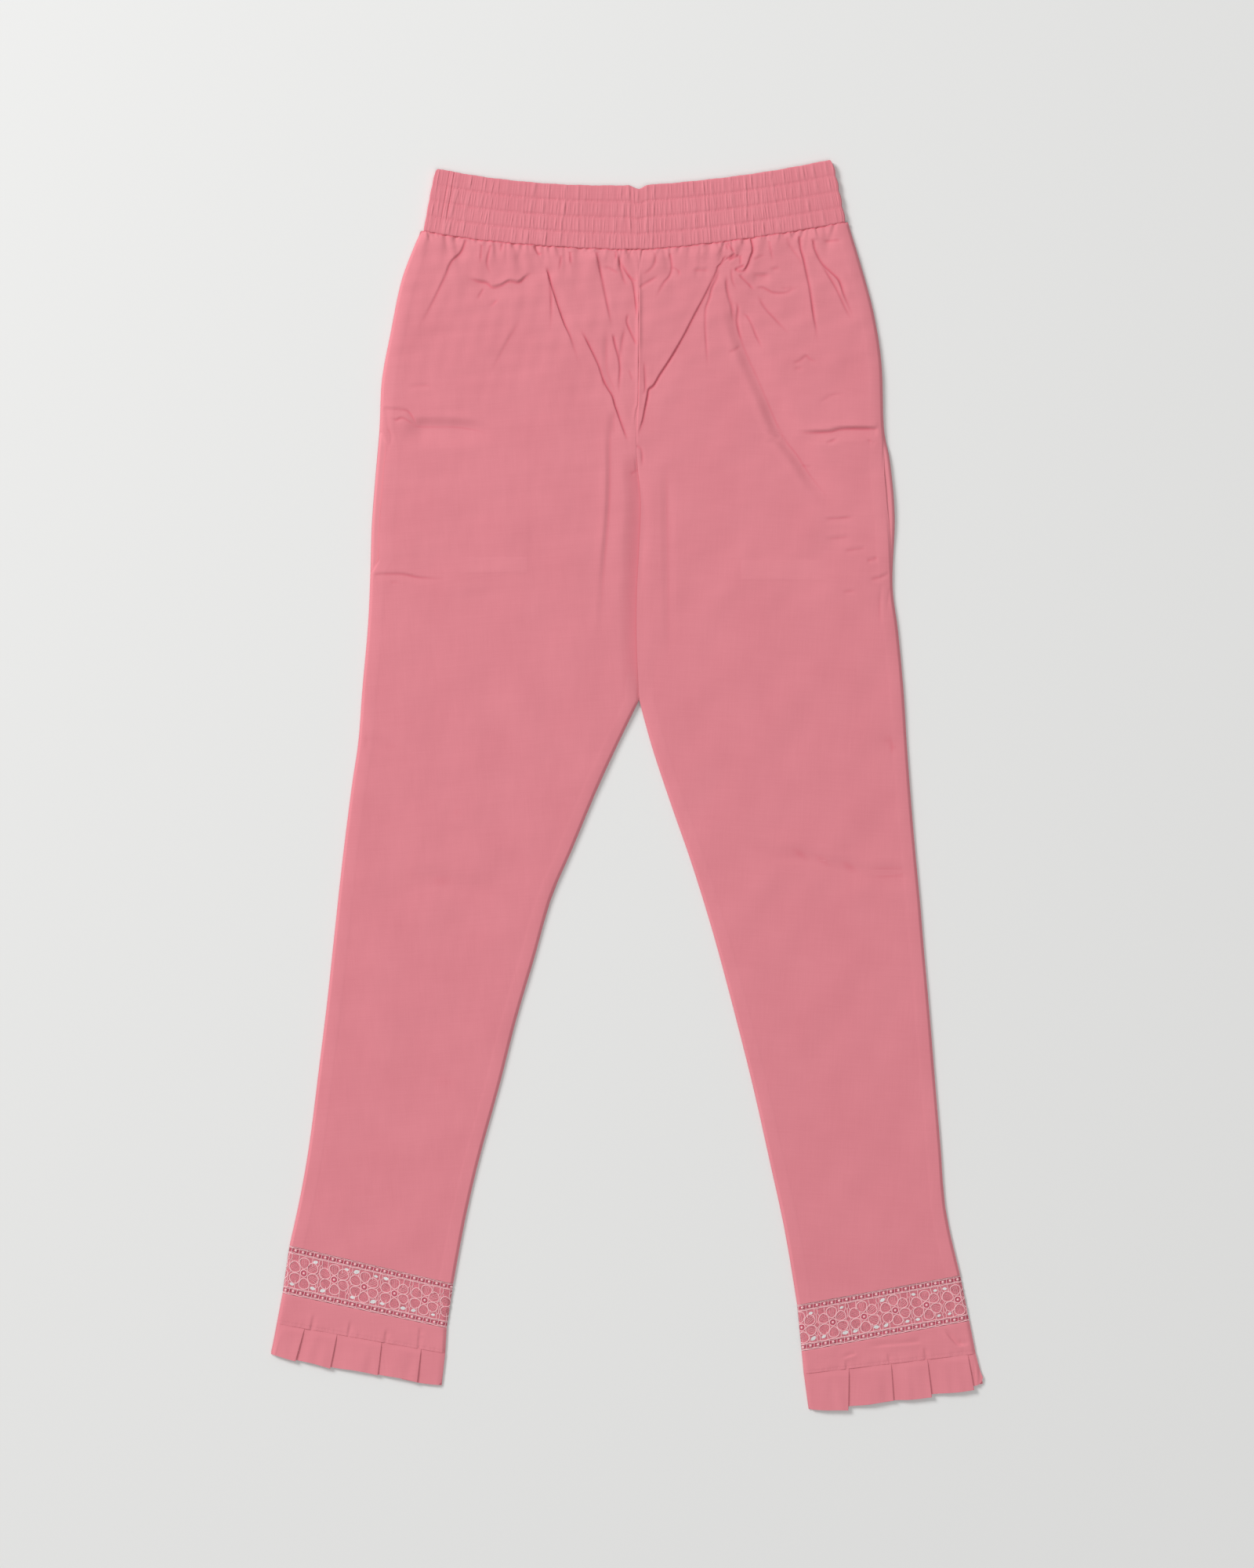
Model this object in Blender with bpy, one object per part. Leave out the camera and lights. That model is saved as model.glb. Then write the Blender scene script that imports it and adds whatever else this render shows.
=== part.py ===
"""Elastic-waist straight pants of pink woven cotton, laid flat with the front up.

Metres, +Z up. The waist lies towards +Y and the hems towards -Y. The wearer's right leg is at -X.
The back layer rests on the floor plane at Z = 0, the pocket bags lie on it, and the front layer lies on
top with the loft and folds that the cloth keeps. Each piece that a maker cuts is one object.
"""

import math
from collections import namedtuple

import bmesh
import bpy

# Walls, and the space between pieces at a seam
CLOTH = 0.0012
LACE_WALL = 0.0010
RUFFLE_WALL = 0.0010
GAP = 0.0003

# Heights of the layers above the floor
FRONT_REST = CLOTH + GAP
BAG_WALL = 0.0010
OVER_BAG = FRONT_REST + BAG_WALL + GAP + 0.0001
LACE_REST = FRONT_REST + GAP

# Waistband: a flattened tube with four elastic channels between three rows of stitching
BAND_BACK_WALL = 0.0020
BAND_INNER_GAP = 0.0006
BAND_FRONT_WALL = 0.0016
BAND_PUFF = 0.0010
STITCHED_PUFF = 0.25
BAND_GATHERS = 52
BAND_CHANNELS = 4
BAND_BACK_STEPS = 12
BAND_END_STEPS = 4
CENTRE_DIP = 0.0030
CENTRE_DIP_HALF_WIDTH = 0.008

# Panels
EDGE_ROLL = 0.012
EDGE_COLUMN = 0.0035
SECOND_COLUMN = 0.009
PANEL_MIDDLE_STEPS = 22
BACK_STEPS = 8
GATHER_HEIGHT = 0.0008
GATHER_FADE = 1.0
LAP_LIFT = 0.0015
TUCK_CLEARANCE = 0.0010
MOUTH_LIFT = OVER_BAG - FRONT_REST
MOUTH_INSET = {"right": 0.0062, "left": 0.0049}
BAG_SIDE_INSET = 0.0065
BAG_MOUTH_INSET = 0.0008
BAG_CORNER = 0.008
CLEAR_ASIDE = 0.011
CLEAR_ALONG = 0.016

# Holes round the lace flowers
HOLE_RADIUS = 0.0027
HOLE_SIDES = 5
HOLE_ASIDE = 0.0083
HOLE_UP = 0.0098
HOLE_TO_END = 0.0040

# Knife pleats of the ruffle
PLEAT_DEPTH = 0.012
PLEAT_RISE = RUFFLE_WALL + GAP
PLEAT_TURN_STEPS = 4
RUFFLE_CENTRE = FRONT_REST + RUFFLE_WALL / 2
HEM_STEP = 0.0015
RISE_START = 0.0010
RISE_END = 0.0025
SHORTEST_RISE = 0.004

Row = namedtuple("Row", "outer_x outer_y inner_x inner_y")
Station = namedtuple("Station", "top_x top_y seam_x seam_y")
BandColumn = namedtuple("BandColumn", "outer_part outer_z inner_part inner_z gather")
Fold = namedtuple("Fold", "side half_width height points")
Pleat = namedtuple("Pleat", "seam hem drop")
Bag = namedtuple("Bag", "inner_x top_y bottom_y")
Flowers = namedtuple("Flowers", "first pitch count")

# Each leg's side edge and its centre seam or inseam, from the waist seam to the top of the lace
CROTCH_ROW = 4
FORK_ROW = 9
LEG_ROWS = {
    "right": (
        Row(-0.1626, 0.4268, 0.0088, 0.4140),
        Row(-0.1742, 0.3922, 0.0091, 0.3800),
        Row(-0.1833, 0.3496, 0.0091, 0.3405),
        Row(-0.1900, 0.3131, 0.0088, 0.3010),
        Row(-0.1918, 0.2766, 0.0073, 0.2602),
        Row(-0.1949, 0.2402, 0.0106, 0.2189),
        Row(-0.1979, 0.2006, 0.0094, 0.1824),
        Row(-0.1991, 0.1599, 0.0076, 0.1459),
        Row(-0.2009, 0.1216, 0.0076, 0.1064),
        Row(-0.2052, 0.0730, 0.0094, 0.0651),
        Row(-0.2082, 0.0334, -0.0088, 0.0274),
        Row(-0.2131, 0.0000, -0.0246, -0.0073),
        Row(-0.2186, -0.0426, -0.0423, -0.0499),
        Row(-0.2228, -0.0790, -0.0587, -0.0882),
        Row(-0.2277, -0.1246, -0.0720, -0.1350),
        Row(-0.2326, -0.1702, -0.0860, -0.1824),
        Row(-0.2386, -0.2189, -0.0988, -0.2329),
        Row(-0.2459, -0.2766, -0.1152, -0.2924),
        Row(-0.2532, -0.3192, -0.1262, -0.3405),
        Row(-0.2616, -0.3575, -0.1348, -0.3872),
    ),
    "left": (
        Row(0.1712, 0.4347, 0.0088, 0.4140),
        Row(0.1815, 0.4013, 0.0091, 0.3800),
        Row(0.1912, 0.3648, 0.0091, 0.3405),
        Row(0.1973, 0.3253, 0.0088, 0.3010),
        Row(0.1991, 0.2766, 0.0073, 0.2602),
        Row(0.2040, 0.2493, 0.0106, 0.2189),
        Row(0.2076, 0.2067, 0.0094, 0.1824),
        Row(0.2058, 0.1550, 0.0076, 0.1459),
        Row(0.2101, 0.1186, 0.0076, 0.1064),
        Row(0.2143, 0.0730, 0.0094, 0.0651),
        Row(0.2168, 0.0328, 0.0198, 0.0274),
        Row(0.2198, -0.0091, 0.0350, -0.0182),
        Row(0.2234, -0.0517, 0.0489, -0.0578),
        Row(0.2271, -0.0912, 0.0623, -0.1003),
        Row(0.2301, -0.1277, 0.0727, -0.1368),
        Row(0.2344, -0.1763, 0.0866, -0.1897),
        Row(0.2386, -0.2280, 0.0988, -0.2389),
        Row(0.2429, -0.2797, 0.1110, -0.2937),
        Row(0.2472, -0.3314, 0.1225, -0.3466),
        Row(0.2582, -0.3806, 0.1320, -0.4036),
    ),
}

# Seams across the leg below the panel: lace top, lace bottom, ruffle seam and hem
LEG_ENDS = {
    "right": (
        Row(-0.2616, -0.3575, -0.1348, -0.3872),
        Row(-0.2670, -0.3945, -0.1399, -0.4216),
        Row(-0.2715, -0.4181, -0.1410, -0.4411),
        Row(-0.2760, -0.4420, -0.1438, -0.4662),
    ),
    "left": (
        Row(0.2582, -0.3806, 0.1320, -0.4036),
        Row(0.2653, -0.4160, 0.1355, -0.4396),
        Row(0.2703, -0.4414, 0.1371, -0.4570),
        Row(0.2760, -0.4649, 0.1409, -0.4846),
    ),
}

WAISTBAND = (
    Station(-0.1490, 0.4770, -0.1580, 0.4280),
    Station(-0.1050, 0.4695, -0.1120, 0.4210),
    Station(-0.0500, 0.4645, -0.0530, 0.4160),
    Station(0.0088, 0.4640, 0.0088, 0.4140),
    Station(0.0600, 0.4680, 0.0630, 0.4185),
    Station(0.1120, 0.4750, 0.1170, 0.4260),
    Station(0.1600, 0.4840, 0.1700, 0.4350),
)

# Where the panels' rows of points lie, counted in rows of LEG_ROWS: close at the gathers, open on the legs
PANEL_ROWS = (
    0, 0.1, 0.25, 0.45, 0.7, 1, 1.35, 1.7, 2, 2.35, 2.7, 3, 3.35, 3.7, 4, 4.35, 4.7, 5, 5.5, 6,
    6.3, 6.65, 7, 7.5, 8, 8.5, 9, 10, 11, 12, 12.5, 13, 14, 15, 16, 17, 18, 19,
)

# Pairs of row and height, row and width, or row and share. Inseam: where the front rounds down to its inner
# edge. Tuck: how far the right leg runs under the left. Lap: where the left leg is lifted over it.
LOFT = (
    (0, 0.0011), (0.35, 0.0027), (1, 0.0029), (4, 0.0027),
    (9, 0.0018), (14, 0.0012), (18, 0.0008), (19, 0.0004),
)
TUCK = ((4.35, 0), (5, 0.0036), (6, 0.0061), (7, 0.0073), (8, 0.0055), (9, 0))
INSEAM = ((4, 0), (4.35, 1))
LAP = ((4, 0), (4.35, 1), (9, 1), (10, 0))
MOUTH = ((4, 0), (4.35, 1), (6.65, 1), (7, 0))
BAG_REACH = ((4.55, 0), (4.9, 1), (6.15, 1), (6.45, 0))

BAGS = {"right": Bag(-0.0763, 0.3160, 0.1635), "left": Bag(0.0879, 0.3160, 0.1581)}
BAG_ROWS = 14

# The largest folds of the front. A trough has a negative height.
FOLDS = (
    Fold("right", 0.009, 0.0013, ((-0.124, 0.418), (-0.136, 0.404), (-0.142, 0.390), (-0.166, 0.347))),
    Fold("right", 0.009, -0.0011, ((-0.117, 0.391), (-0.094, 0.385), (-0.072, 0.396))),
    Fold("right", 0.010, 0.0018, ((-0.061, 0.402), (-0.056, 0.375), (-0.043, 0.345), (-0.034, 0.318))),
    Fold("right", 0.009, -0.0013, ((-0.034, 0.392), (-0.030, 0.341), (-0.018, 0.311), (-0.004, 0.272))),
    Fold("right", 0.009, 0.0012, ((-0.019, 0.400), (-0.013, 0.368), (-0.008, 0.335), (-0.007, 0.300))),
    Fold("right", 0.014, 0.0008, ((-0.013, 0.266), (-0.014, 0.217), (-0.019, 0.155), (-0.020, 0.102))),
    Fold("right", 0.011, -0.0010, ((-0.189, 0.291), (-0.161, 0.279), (-0.121, 0.279), (-0.100, 0.270))),
    Fold("right", 0.012, -0.0007, ((-0.191, 0.162), (-0.160, 0.160), (-0.137, 0.159))),
    Fold("right", 0.014, 0.0006, ((-0.205, 0.034), (-0.160, 0.024))),
    Fold("right", 0.018, 0.0006, ((-0.175, -0.067), (-0.140, -0.076), (-0.092, -0.082))),
    Fold("left", 0.010, 0.0022, ((0.076, 0.404), (0.058, 0.381), (0.042, 0.354), (0.014, 0.303))),
    Fold("left", 0.009, -0.0016, ((0.070, 0.385), (0.052, 0.352), (0.034, 0.323))),
    Fold("left", 0.011, -0.0016, ((0.082, 0.370), (0.089, 0.342), (0.103, 0.310), (0.120, 0.272))),
    Fold("left", 0.011, -0.0013, ((0.120, 0.272), (0.142, 0.239), (0.156, 0.220), (0.161, 0.204))),
    Fold("left", 0.010, 0.0013, ((0.090, 0.396), (0.099, 0.382), (0.112, 0.367), (0.134, 0.336))),
    Fold("left", 0.009, -0.0013, ((0.146, 0.418), (0.148, 0.407), (0.167, 0.387), (0.173, 0.373))),
    Fold("left", 0.009, 0.0012, ((0.149, 0.398), (0.159, 0.387), (0.166, 0.364), (0.183, 0.336))),
    Fold("left", 0.010, -0.0012, ((0.130, 0.272), (0.160, 0.273), (0.194, 0.275))),
    Fold("left", 0.014, 0.0007, ((0.031, 0.245), (0.032, 0.155), (0.033, 0.083))),
    Fold("left", 0.014, 0.0006, ((0.182, 0.029), (0.214, 0.036))),
    Fold("left", 0.018, -0.0006, ((0.088, -0.050), (0.127, -0.053), (0.158, -0.061), (0.222, -0.068))),
)

# Fold edges of the ruffle's pleats, as parts of its width from its -X end, at the seam and at the hem,
# and how far the hem sags below the straight line there
PLEATS = {
    "right": (
        Pleat(0.165, 0.143, 0.0013),
        Pleat(0.358, 0.347, 0.0023),
        Pleat(0.623, 0.626, 0.0009),
        Pleat(0.857, 0.857, 0.0004),
    ),
    "left": (
        Pleat(0.262, 0.226, 0.0050),
        Pleat(0.507, 0.486, 0.0033),
        Pleat(0.718, 0.705, 0.0049),
        Pleat(0.930, 0.925, 0.0036),
    ),
}

# The first flower's distance along the lace from its -X end, and the flowers' spacing and number
FLOWERS = {"right": Flowers(0.0142, 0.0240, 6), "left": Flowers(0.0017, 0.0246, 6)}

# Heights of the small creases across the front cuff
CUFF_CREASES = (0, 0.0002, 0.0001, 0.0004, 0.0001, 0.0003, 0.0, 0.0003, 0.0001, 0.0004, 0.0002, 0)

COTTON = (0.72, 0.25, 0.29)
COTTON_BACK = (0.66, 0.22, 0.26)
BAG_COTTON = (0.75, 0.28, 0.32)
LACE_PINK = (0.52, 0.13, 0.17)


def clear_scene():
    for old in list(bpy.data.objects):
        bpy.data.objects.remove(old, do_unlink=True)


def smoothstep(value):
    value = min(max(value, 0.0), 1.0)
    return value * value * (3 - 2 * value)


def read_table(table, at):
    """The second column of a table at a place in its first, eased between rows and level past its ends."""
    if at <= table[0][0]:
        return table[0][1]
    for (low, first), (high, second) in zip(table, table[1:]):
        if at <= high:
            return first + (second - first) * smoothstep((at - low) / (high - low))
    return table[-1][1]


def on_curve(values, at):
    """A value between the numbers of a row, on the smooth curve through all of them."""
    index = min(int(at), len(values) - 2)
    part = at - index
    here = values[index]
    there = values[index + 1]
    slope_here = (there - values[max(index - 1, 0)]) / 2
    slope_there = (values[min(index + 2, len(values) - 1)] - here) / 2
    square = part * part
    cube = square * part
    return (
        (2 * cube - 3 * square + 1) * here
        + (cube - 2 * square + part) * slope_here
        + (3 * square - 2 * cube) * there
        + (cube - square) * slope_there
    )


def row_at(rows, at):
    """A row of a table of points between its whole rows."""
    return type(rows[0])(*(on_curve([row[column] for row in rows], at) for column in range(len(rows[0]))))


def leg_row(side, at):
    """A row of a leg's table between its whole rows. The inner edge has a corner where the legs part."""
    rows = LEG_ROWS[side]
    row = row_at(rows, at)
    if at <= FORK_ROW:
        inner = row_at(rows[:FORK_ROW + 1], at)
    else:
        inner = row_at(rows[FORK_ROW:], at - FORK_ROW)
    return row._replace(inner_x=inner.inner_x, inner_y=inner.inner_y)


def between(first, second, part):
    return first + (second - first) * part


def edge_roll(distance):
    """How far cloth that rounds down to its edge has risen, from 0 at the edge to 1."""
    inward = min(max(distance / EDGE_ROLL, 0.0), 1.0)
    return math.sqrt(1 - (1 - inward) ** 2)


def material(name, colour, roughness):
    made = bpy.data.materials.new(name)
    made.use_nodes = True
    shader = made.node_tree.nodes["Principled BSDF"]
    shader.inputs["Base Color"].default_value = (*colour, 1)
    shader.inputs["Roughness"].default_value = roughness
    shader.inputs["Metallic"].default_value = 0
    made.diffuse_color = (*colour, 1)
    return made


def add_object(name, bm, colour, roughness=0.85):
    """An object made from a bmesh, with its faces turned outwards and a material of its own."""
    bmesh.ops.recalc_face_normals(bm, faces=bm.faces)
    mesh = bpy.data.meshes.new(name)
    bm.to_mesh(mesh)
    bm.free()
    mesh.materials.append(material(name + "_cloth", colour, roughness))
    made = bpy.data.objects.new(name, mesh)
    bpy.context.scene.collection.objects.link(made)
    return made


def wall_between(upper, lower, ring=False):
    """A closed wall between two grids of points, rows of equal length. A ring joins each row's ends."""
    bm = bmesh.new()
    top = [[bm.verts.new(point) for point in row] for row in upper]
    under = [[bm.verts.new(point) for point in row] for row in lower]
    columns = len(top[0])
    last_row = len(top) - 1
    joined = columns if ring else columns - 1
    for row in range(last_row):
        for column in range(joined):
            beside = (column + 1) % columns
            for grid in (top, under):
                corners = grid[row][column], grid[row + 1][column], grid[row + 1][beside], grid[row][beside]
                bm.faces.new(corners)
    for row in (0, last_row):
        for column in range(joined):
            beside = (column + 1) % columns
            bm.faces.new((top[row][column], top[row][beside], under[row][beside], under[row][column]))
    for column in () if ring else (0, columns - 1):
        for row in range(last_row):
            below = row + 1
            bm.faces.new((top[row][column], under[row][column], under[below][column], top[below][column]))
    return bm


def raised(grid, height):
    return [[(x, y, z + height) for x, y, z in row] for row in grid]


def band_row(part):
    """The waistband's top and seam points at a part of its width from the -X end."""
    station = row_at(WAISTBAND, part * (len(WAISTBAND) - 1))
    centre = abs(station.top_x - WAISTBAND[3].top_x) / CENTRE_DIP_HALF_WIDTH
    return station._replace(top_y=station.top_y - CENTRE_DIP * max(0.0, 1 - centre))


def seam_height(x):
    """Y of the waist seam at a given X, found by halving."""
    low, high = 0.0, 1.0
    for _ in range(24):
        middle = (low + high) / 2
        if band_row(middle).seam_x < x:
            low = middle
        else:
            high = middle
    return band_row(low).seam_y


def band_columns():
    """The waistband's cross-section: across the front, round the +X end, along the back, round the -X end."""
    front_inner = BAND_BACK_WALL + BAND_INNER_GAP
    front_outer = front_inner + BAND_FRONT_WALL
    outer_radius = front_outer / 2
    inner_radius = BAND_INNER_GAP / 2
    inner_middle = BAND_BACK_WALL + inner_radius
    width = WAISTBAND[-1].seam_x - WAISTBAND[0].seam_x
    end = outer_radius / width

    def end_column(sign, start, step):
        angle = math.pi * step / BAND_END_STEPS
        return BandColumn(
            start + sign * end * math.sin(angle),
            outer_radius + outer_radius * math.cos(angle),
            start + sign * inner_radius / width * math.sin(angle),
            inner_middle + inner_radius * math.cos(angle),
            0.0,
        )

    columns = []
    steps = 2 * BAND_GATHERS
    for step in range(steps + 1):
        part = between(end, 1 - end, step / steps)
        uneven = 0.75 + 0.25 * math.sin(step * 2.3)
        inside_ends = smoothstep(min(step, steps - step) / 3)
        ridge = 1.25 if step % 2 else 0.25
        columns.append(BandColumn(part, front_outer, part, front_inner, ridge * uneven * inside_ends))
    columns += [end_column(1, 1 - end, step) for step in range(1, BAND_END_STEPS + 1)]
    for step in range(1, BAND_BACK_STEPS):
        part = between(1 - end, end, step / BAND_BACK_STEPS)
        columns.append(BandColumn(part, 0.0, part, BAND_BACK_WALL, 0.0))
    columns += [end_column(-1, end, step) for step in range(BAND_END_STEPS, 0, -1)]
    return columns


def band_point(part, down, z):
    station = band_row(part)
    return between(station.top_x, station.seam_x, down), between(station.top_y, station.seam_y, down), z


def make_waistband():
    """One flattened tube. Its front puffs up between the rows of stitching and is gathered across."""
    columns = band_columns()
    outer, inner = [], []
    rows = 2 * BAND_CHANNELS
    for row in range(rows + 1):
        down = row / rows
        puff = BAND_PUFF if row % 2 else BAND_PUFF * STITCHED_PUFF
        outer_row = []
        for column in columns:
            outer_row.append(band_point(column.outer_part, down, column.outer_z + puff * column.gather))
        outer.append(outer_row)
        inner.append([band_point(column.inner_part, down, column.inner_z) for column in columns])
    add_object("waistband", wall_between(outer, inner, ring=True), COTTON)


def fold_height(side, x, y):
    """The folds' height above the cloth's loft at a place, each fading to nothing at its ends and sides."""
    total = 0.0
    for fold in FOLDS:
        if fold.side != side:
            continue
        nearest = None
        spans = len(fold.points) - 1
        for index, ((ax, ay), (bx, by)) in enumerate(zip(fold.points, fold.points[1:])):
            length = (bx - ax) ** 2 + (by - ay) ** 2
            part = min(max(((x - ax) * (bx - ax) + (y - ay) * (by - ay)) / length, 0.0), 1.0)
            away = math.hypot(x - between(ax, bx, part), y - between(ay, by, part))
            if nearest is None or away < nearest[0]:
                nearest = (away, (index + part) / spans)
        away, along = nearest
        if away < fold.half_width:
            taper = 0.35 + 0.65 * smoothstep(4 * min(along, 1 - along))
            total += fold.height * taper * (1 - (away / fold.half_width) ** 2) ** 2
    return total


def side_sign(side):
    return -1 if side == "right" else 1


def over_bag(side, x, y):
    """Whether a place is over the pocket bag, or near enough that the cloth there must clear it."""
    bag = BAGS[side]
    inside_x = side_sign(side) * (x - bag.inner_x) > -CLEAR_ASIDE
    return inside_x and bag.bottom_y - CLEAR_ALONG < y < bag.top_y + CLEAR_ALONG


def front_height(side, at, x, y, from_outer, from_inner):
    """Height of the front panel's underside."""
    loft = read_table(LOFT, at)
    outer = edge_roll(from_outer)
    inner = between(1.0, edge_roll(from_inner), read_table(INSEAM, at))
    rise = (loft + fold_height(side, x, y)) * outer * inner
    if from_outer < EDGE_ROLL:
        rise = max(rise, MOUTH_LIFT * read_table(MOUTH, at))
    if side == "left" and from_inner < EDGE_ROLL:
        rise = max(rise, LAP_LIFT * read_table(LAP, at))
    if over_bag(side, x, y) and from_outer >= EDGE_COLUMN:
        rise = max(rise, MOUTH_LIFT)
    return FRONT_REST + max(rise, 0.0)


def panel_row(side, at, inset=0.0, tuck=0.0):
    """The two ends of a panel's row: its side edge and its centre or inseam edge, with their seam gaps."""
    row = leg_row(side, at)
    sign = side_sign(side)
    return row._replace(
        outer_x=row.outer_x - sign * inset,
        inner_x=row.inner_x + sign * GAP / 2 - sign * tuck,
    )


def across(row, part):
    """A point of a row at a part of the way from its side edge to its inner edge."""
    return between(row.outer_x, row.inner_x, part), between(row.outer_y, row.inner_y, part)


def meet_waist_seam(x, y, straight_y, at):
    """Moves a point near the top of a panel so that the top edge follows the waistband's curved seam."""
    pull = 1 - smoothstep(at)
    return y + (seam_height(x) - GAP - straight_y) * pull


def make_front_panel(side):
    upper = []
    first_middle, last_middle = 2, 2 + PANEL_MIDDLE_STEPS
    for at in PANEL_ROWS:
        tuck = read_table(TUCK, at) if side == "right" else 0.0
        row = panel_row(side, at, MOUTH_INSET[side] * read_table(MOUTH, at), tuck)
        top = panel_row(side, 0)
        width = math.hypot(row.inner_x - row.outer_x, row.inner_y - row.outer_y)
        tucked = side == "right" and CROTCH_ROW < at <= FORK_ROW
        flat_edge = tuck + TUCK_CLEARANCE if tucked else 0.0
        inner_margin = flat_edge or EDGE_COLUMN
        from_outer = [0.0, EDGE_COLUMN]
        start, end = SECOND_COLUMN, width - inner_margin - SECOND_COLUMN + EDGE_COLUMN
        for step in range(PANEL_MIDDLE_STEPS + 1):
            from_outer.append(between(start, end, step / PANEL_MIDDLE_STEPS))
        from_outer += [width - inner_margin, width]
        points = []
        for column, distance in enumerate(from_outer):
            x, y = across(row, distance / width)
            y = meet_waist_seam(x, y, across(top, distance / width)[1], at)
            height = front_height(side, at, x, y, distance, max(width - distance - flat_edge, 0.0))
            if first_middle <= column <= last_middle and at < GATHER_FADE:
                uneven = 0.7 + 0.3 * math.sin(column * 2.4)
                fade = 1 - smoothstep(at / GATHER_FADE)
                height += GATHER_HEIGHT * uneven * fade * (1 if column % 2 else -0.5)
            points.append((x, y, max(height, FRONT_REST)))
        upper.append(points if side == "right" else points[::-1])
    add_object("front_panel_" + side, wall_between(raised(upper, CLOTH), upper), COTTON)


def make_back_panel(side):
    lower = []
    for at in PANEL_ROWS:
        row = panel_row(side, at)
        top = panel_row(side, 0)
        points = []
        for step in range(BACK_STEPS + 1):
            x, y = across(row, step / BACK_STEPS)
            y = meet_waist_seam(x, y, across(top, step / BACK_STEPS)[1], at)
            points.append((x, y, 0.0))
        lower.append(points if side == "right" else points[::-1])
    add_object("back_panel_" + side, wall_between(raised(lower, CLOTH), lower), COTTON_BACK)


def row_place(side, y):
    """Which row of the leg table has its side edge at a given Y, found by halving."""
    low, high = 0.0, float(len(LEG_ROWS[side]) - 1)
    for _ in range(24):
        middle = (low + high) / 2
        if leg_row(side, middle).outer_y > y:
            low = middle
        else:
            high = middle
    return low


def make_pocket_bag(side):
    """A flat bag from the side seam inwards. Where the pocket opens it reaches out past the front panel."""
    bag = BAGS[side]
    sign = side_sign(side)
    lower = []
    for step in range(BAG_ROWS + 1):
        y = between(bag.top_y, bag.bottom_y, step / BAG_ROWS)
        from_end = min(bag.top_y - y, y - bag.bottom_y)
        corner = BAG_CORNER * (1 - math.sqrt(1 - (1 - min(from_end / BAG_CORNER, 1.0)) ** 2))
        at = row_place(side, y)
        inset = between(BAG_SIDE_INSET, BAG_MOUTH_INSET, read_table(BAG_REACH, at))
        outer_x = leg_row(side, at).outer_x - sign * inset
        ends = [(outer_x, y, FRONT_REST), (bag.inner_x + sign * corner, y, FRONT_REST)]
        lower.append(ends if side == "right" else ends[::-1])
    add_object("pocket_bag_" + side, wall_between(raised(lower, BAG_WALL), lower), BAG_COTTON)


def strip_corner(side, first, second, along, down, gap):
    """A point of a strip across the leg end: along from its -X end, down from its upper seam."""
    upper, lower = LEG_ENDS[side][first], LEG_ENDS[side][second]
    part = along if side == "right" else 1 - along
    ux, uy = across(upper, part)
    lx, ly = across(lower, part)
    height = math.hypot(lx - ux, ly - uy)
    share = between(gap / height, 1 - gap / height, down) if gap else down
    return between(ux, lx, share), between(uy, ly, share)


def strip_grid(side, first, second, columns, heights):
    """Rows of points of a flat strip between two seams, with a height for each column."""
    grid = []
    for down in (0.0, 0.5, 1.0):
        row = []
        for column in range(columns):
            x, y = strip_corner(side, first, second, column / (columns - 1), down, GAP / 2)
            row.append((x, y, heights[column]))
        grid.append(row)
    return grid


def add_prism(bm, middle, along, rest, turned):
    """A five-sided prism through the lace, with a corner towards the nearer rail."""
    up = (-along[1], along[0])
    ring = []
    for corner in range(HOLE_SIDES):
        angle = turned + 2 * math.pi * corner / HOLE_SIDES
        forward = HOLE_RADIUS * math.cos(angle)
        upward = HOLE_RADIUS * math.sin(angle)
        x = middle[0] + along[0] * forward + up[0] * upward
        y = middle[1] + along[1] * forward + up[1] * upward
        ring.append((x, y))
    floor = [bm.verts.new((x, y, rest - LACE_WALL)) for x, y in ring]
    roof = [bm.verts.new((x, y, rest + 2 * LACE_WALL)) for x, y in ring]
    bm.faces.new(floor[::-1])
    bm.faces.new(roof)
    for corner in range(HOLE_SIDES):
        beside = (corner + 1) % HOLE_SIDES
        bm.faces.new((floor[corner], floor[beside], roof[beside], roof[corner]))


def lace_holes(side, rest):
    """The widest gaps of the real lace, four round each flower, where the lace is long enough for them."""
    bm = bmesh.new()
    start = strip_corner(side, 0, 1, 0, 0.5, 0)
    end = strip_corner(side, 0, 1, 1, 0.5, 0)
    length = math.hypot(end[0] - start[0], end[1] - start[1])
    along = ((end[0] - start[0]) / length, (end[1] - start[1]) / length)
    flowers = FLOWERS[side]
    for flower in range(flowers.count):
        for aside in (-HOLE_ASIDE, HOLE_ASIDE):
            forward = flowers.first + flower * flowers.pitch + aside
            if not HOLE_TO_END < forward < length - HOLE_TO_END:
                continue
            for upward in (-HOLE_UP, HOLE_UP):
                x = start[0] + along[0] * forward - along[1] * upward
                y = start[1] + along[1] * forward + along[0] * upward
                add_prism(bm, (x, y), along, rest, math.copysign(math.pi / 2, upward))
    return bm


def make_lace(side, layer):
    rest = LACE_REST if layer == "front" else 0.0
    lower = strip_grid(side, 0, 1, 2, (rest, rest))
    lace = add_object(f"lace_{layer}_{side}", wall_between(raised(lower, LACE_WALL), lower), LACE_PINK, 0.7)
    holes = add_object(f"lace_holes_{layer}_{side}", lace_holes(side, rest), LACE_PINK, 0.7)
    holes.hide_render = True
    holes.display_type = "WIRE"
    cut = lace.modifiers.new("holes", "BOOLEAN")
    cut.operation = "DIFFERENCE"
    cut.solver = "EXACT"
    cut.object = holes


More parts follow.
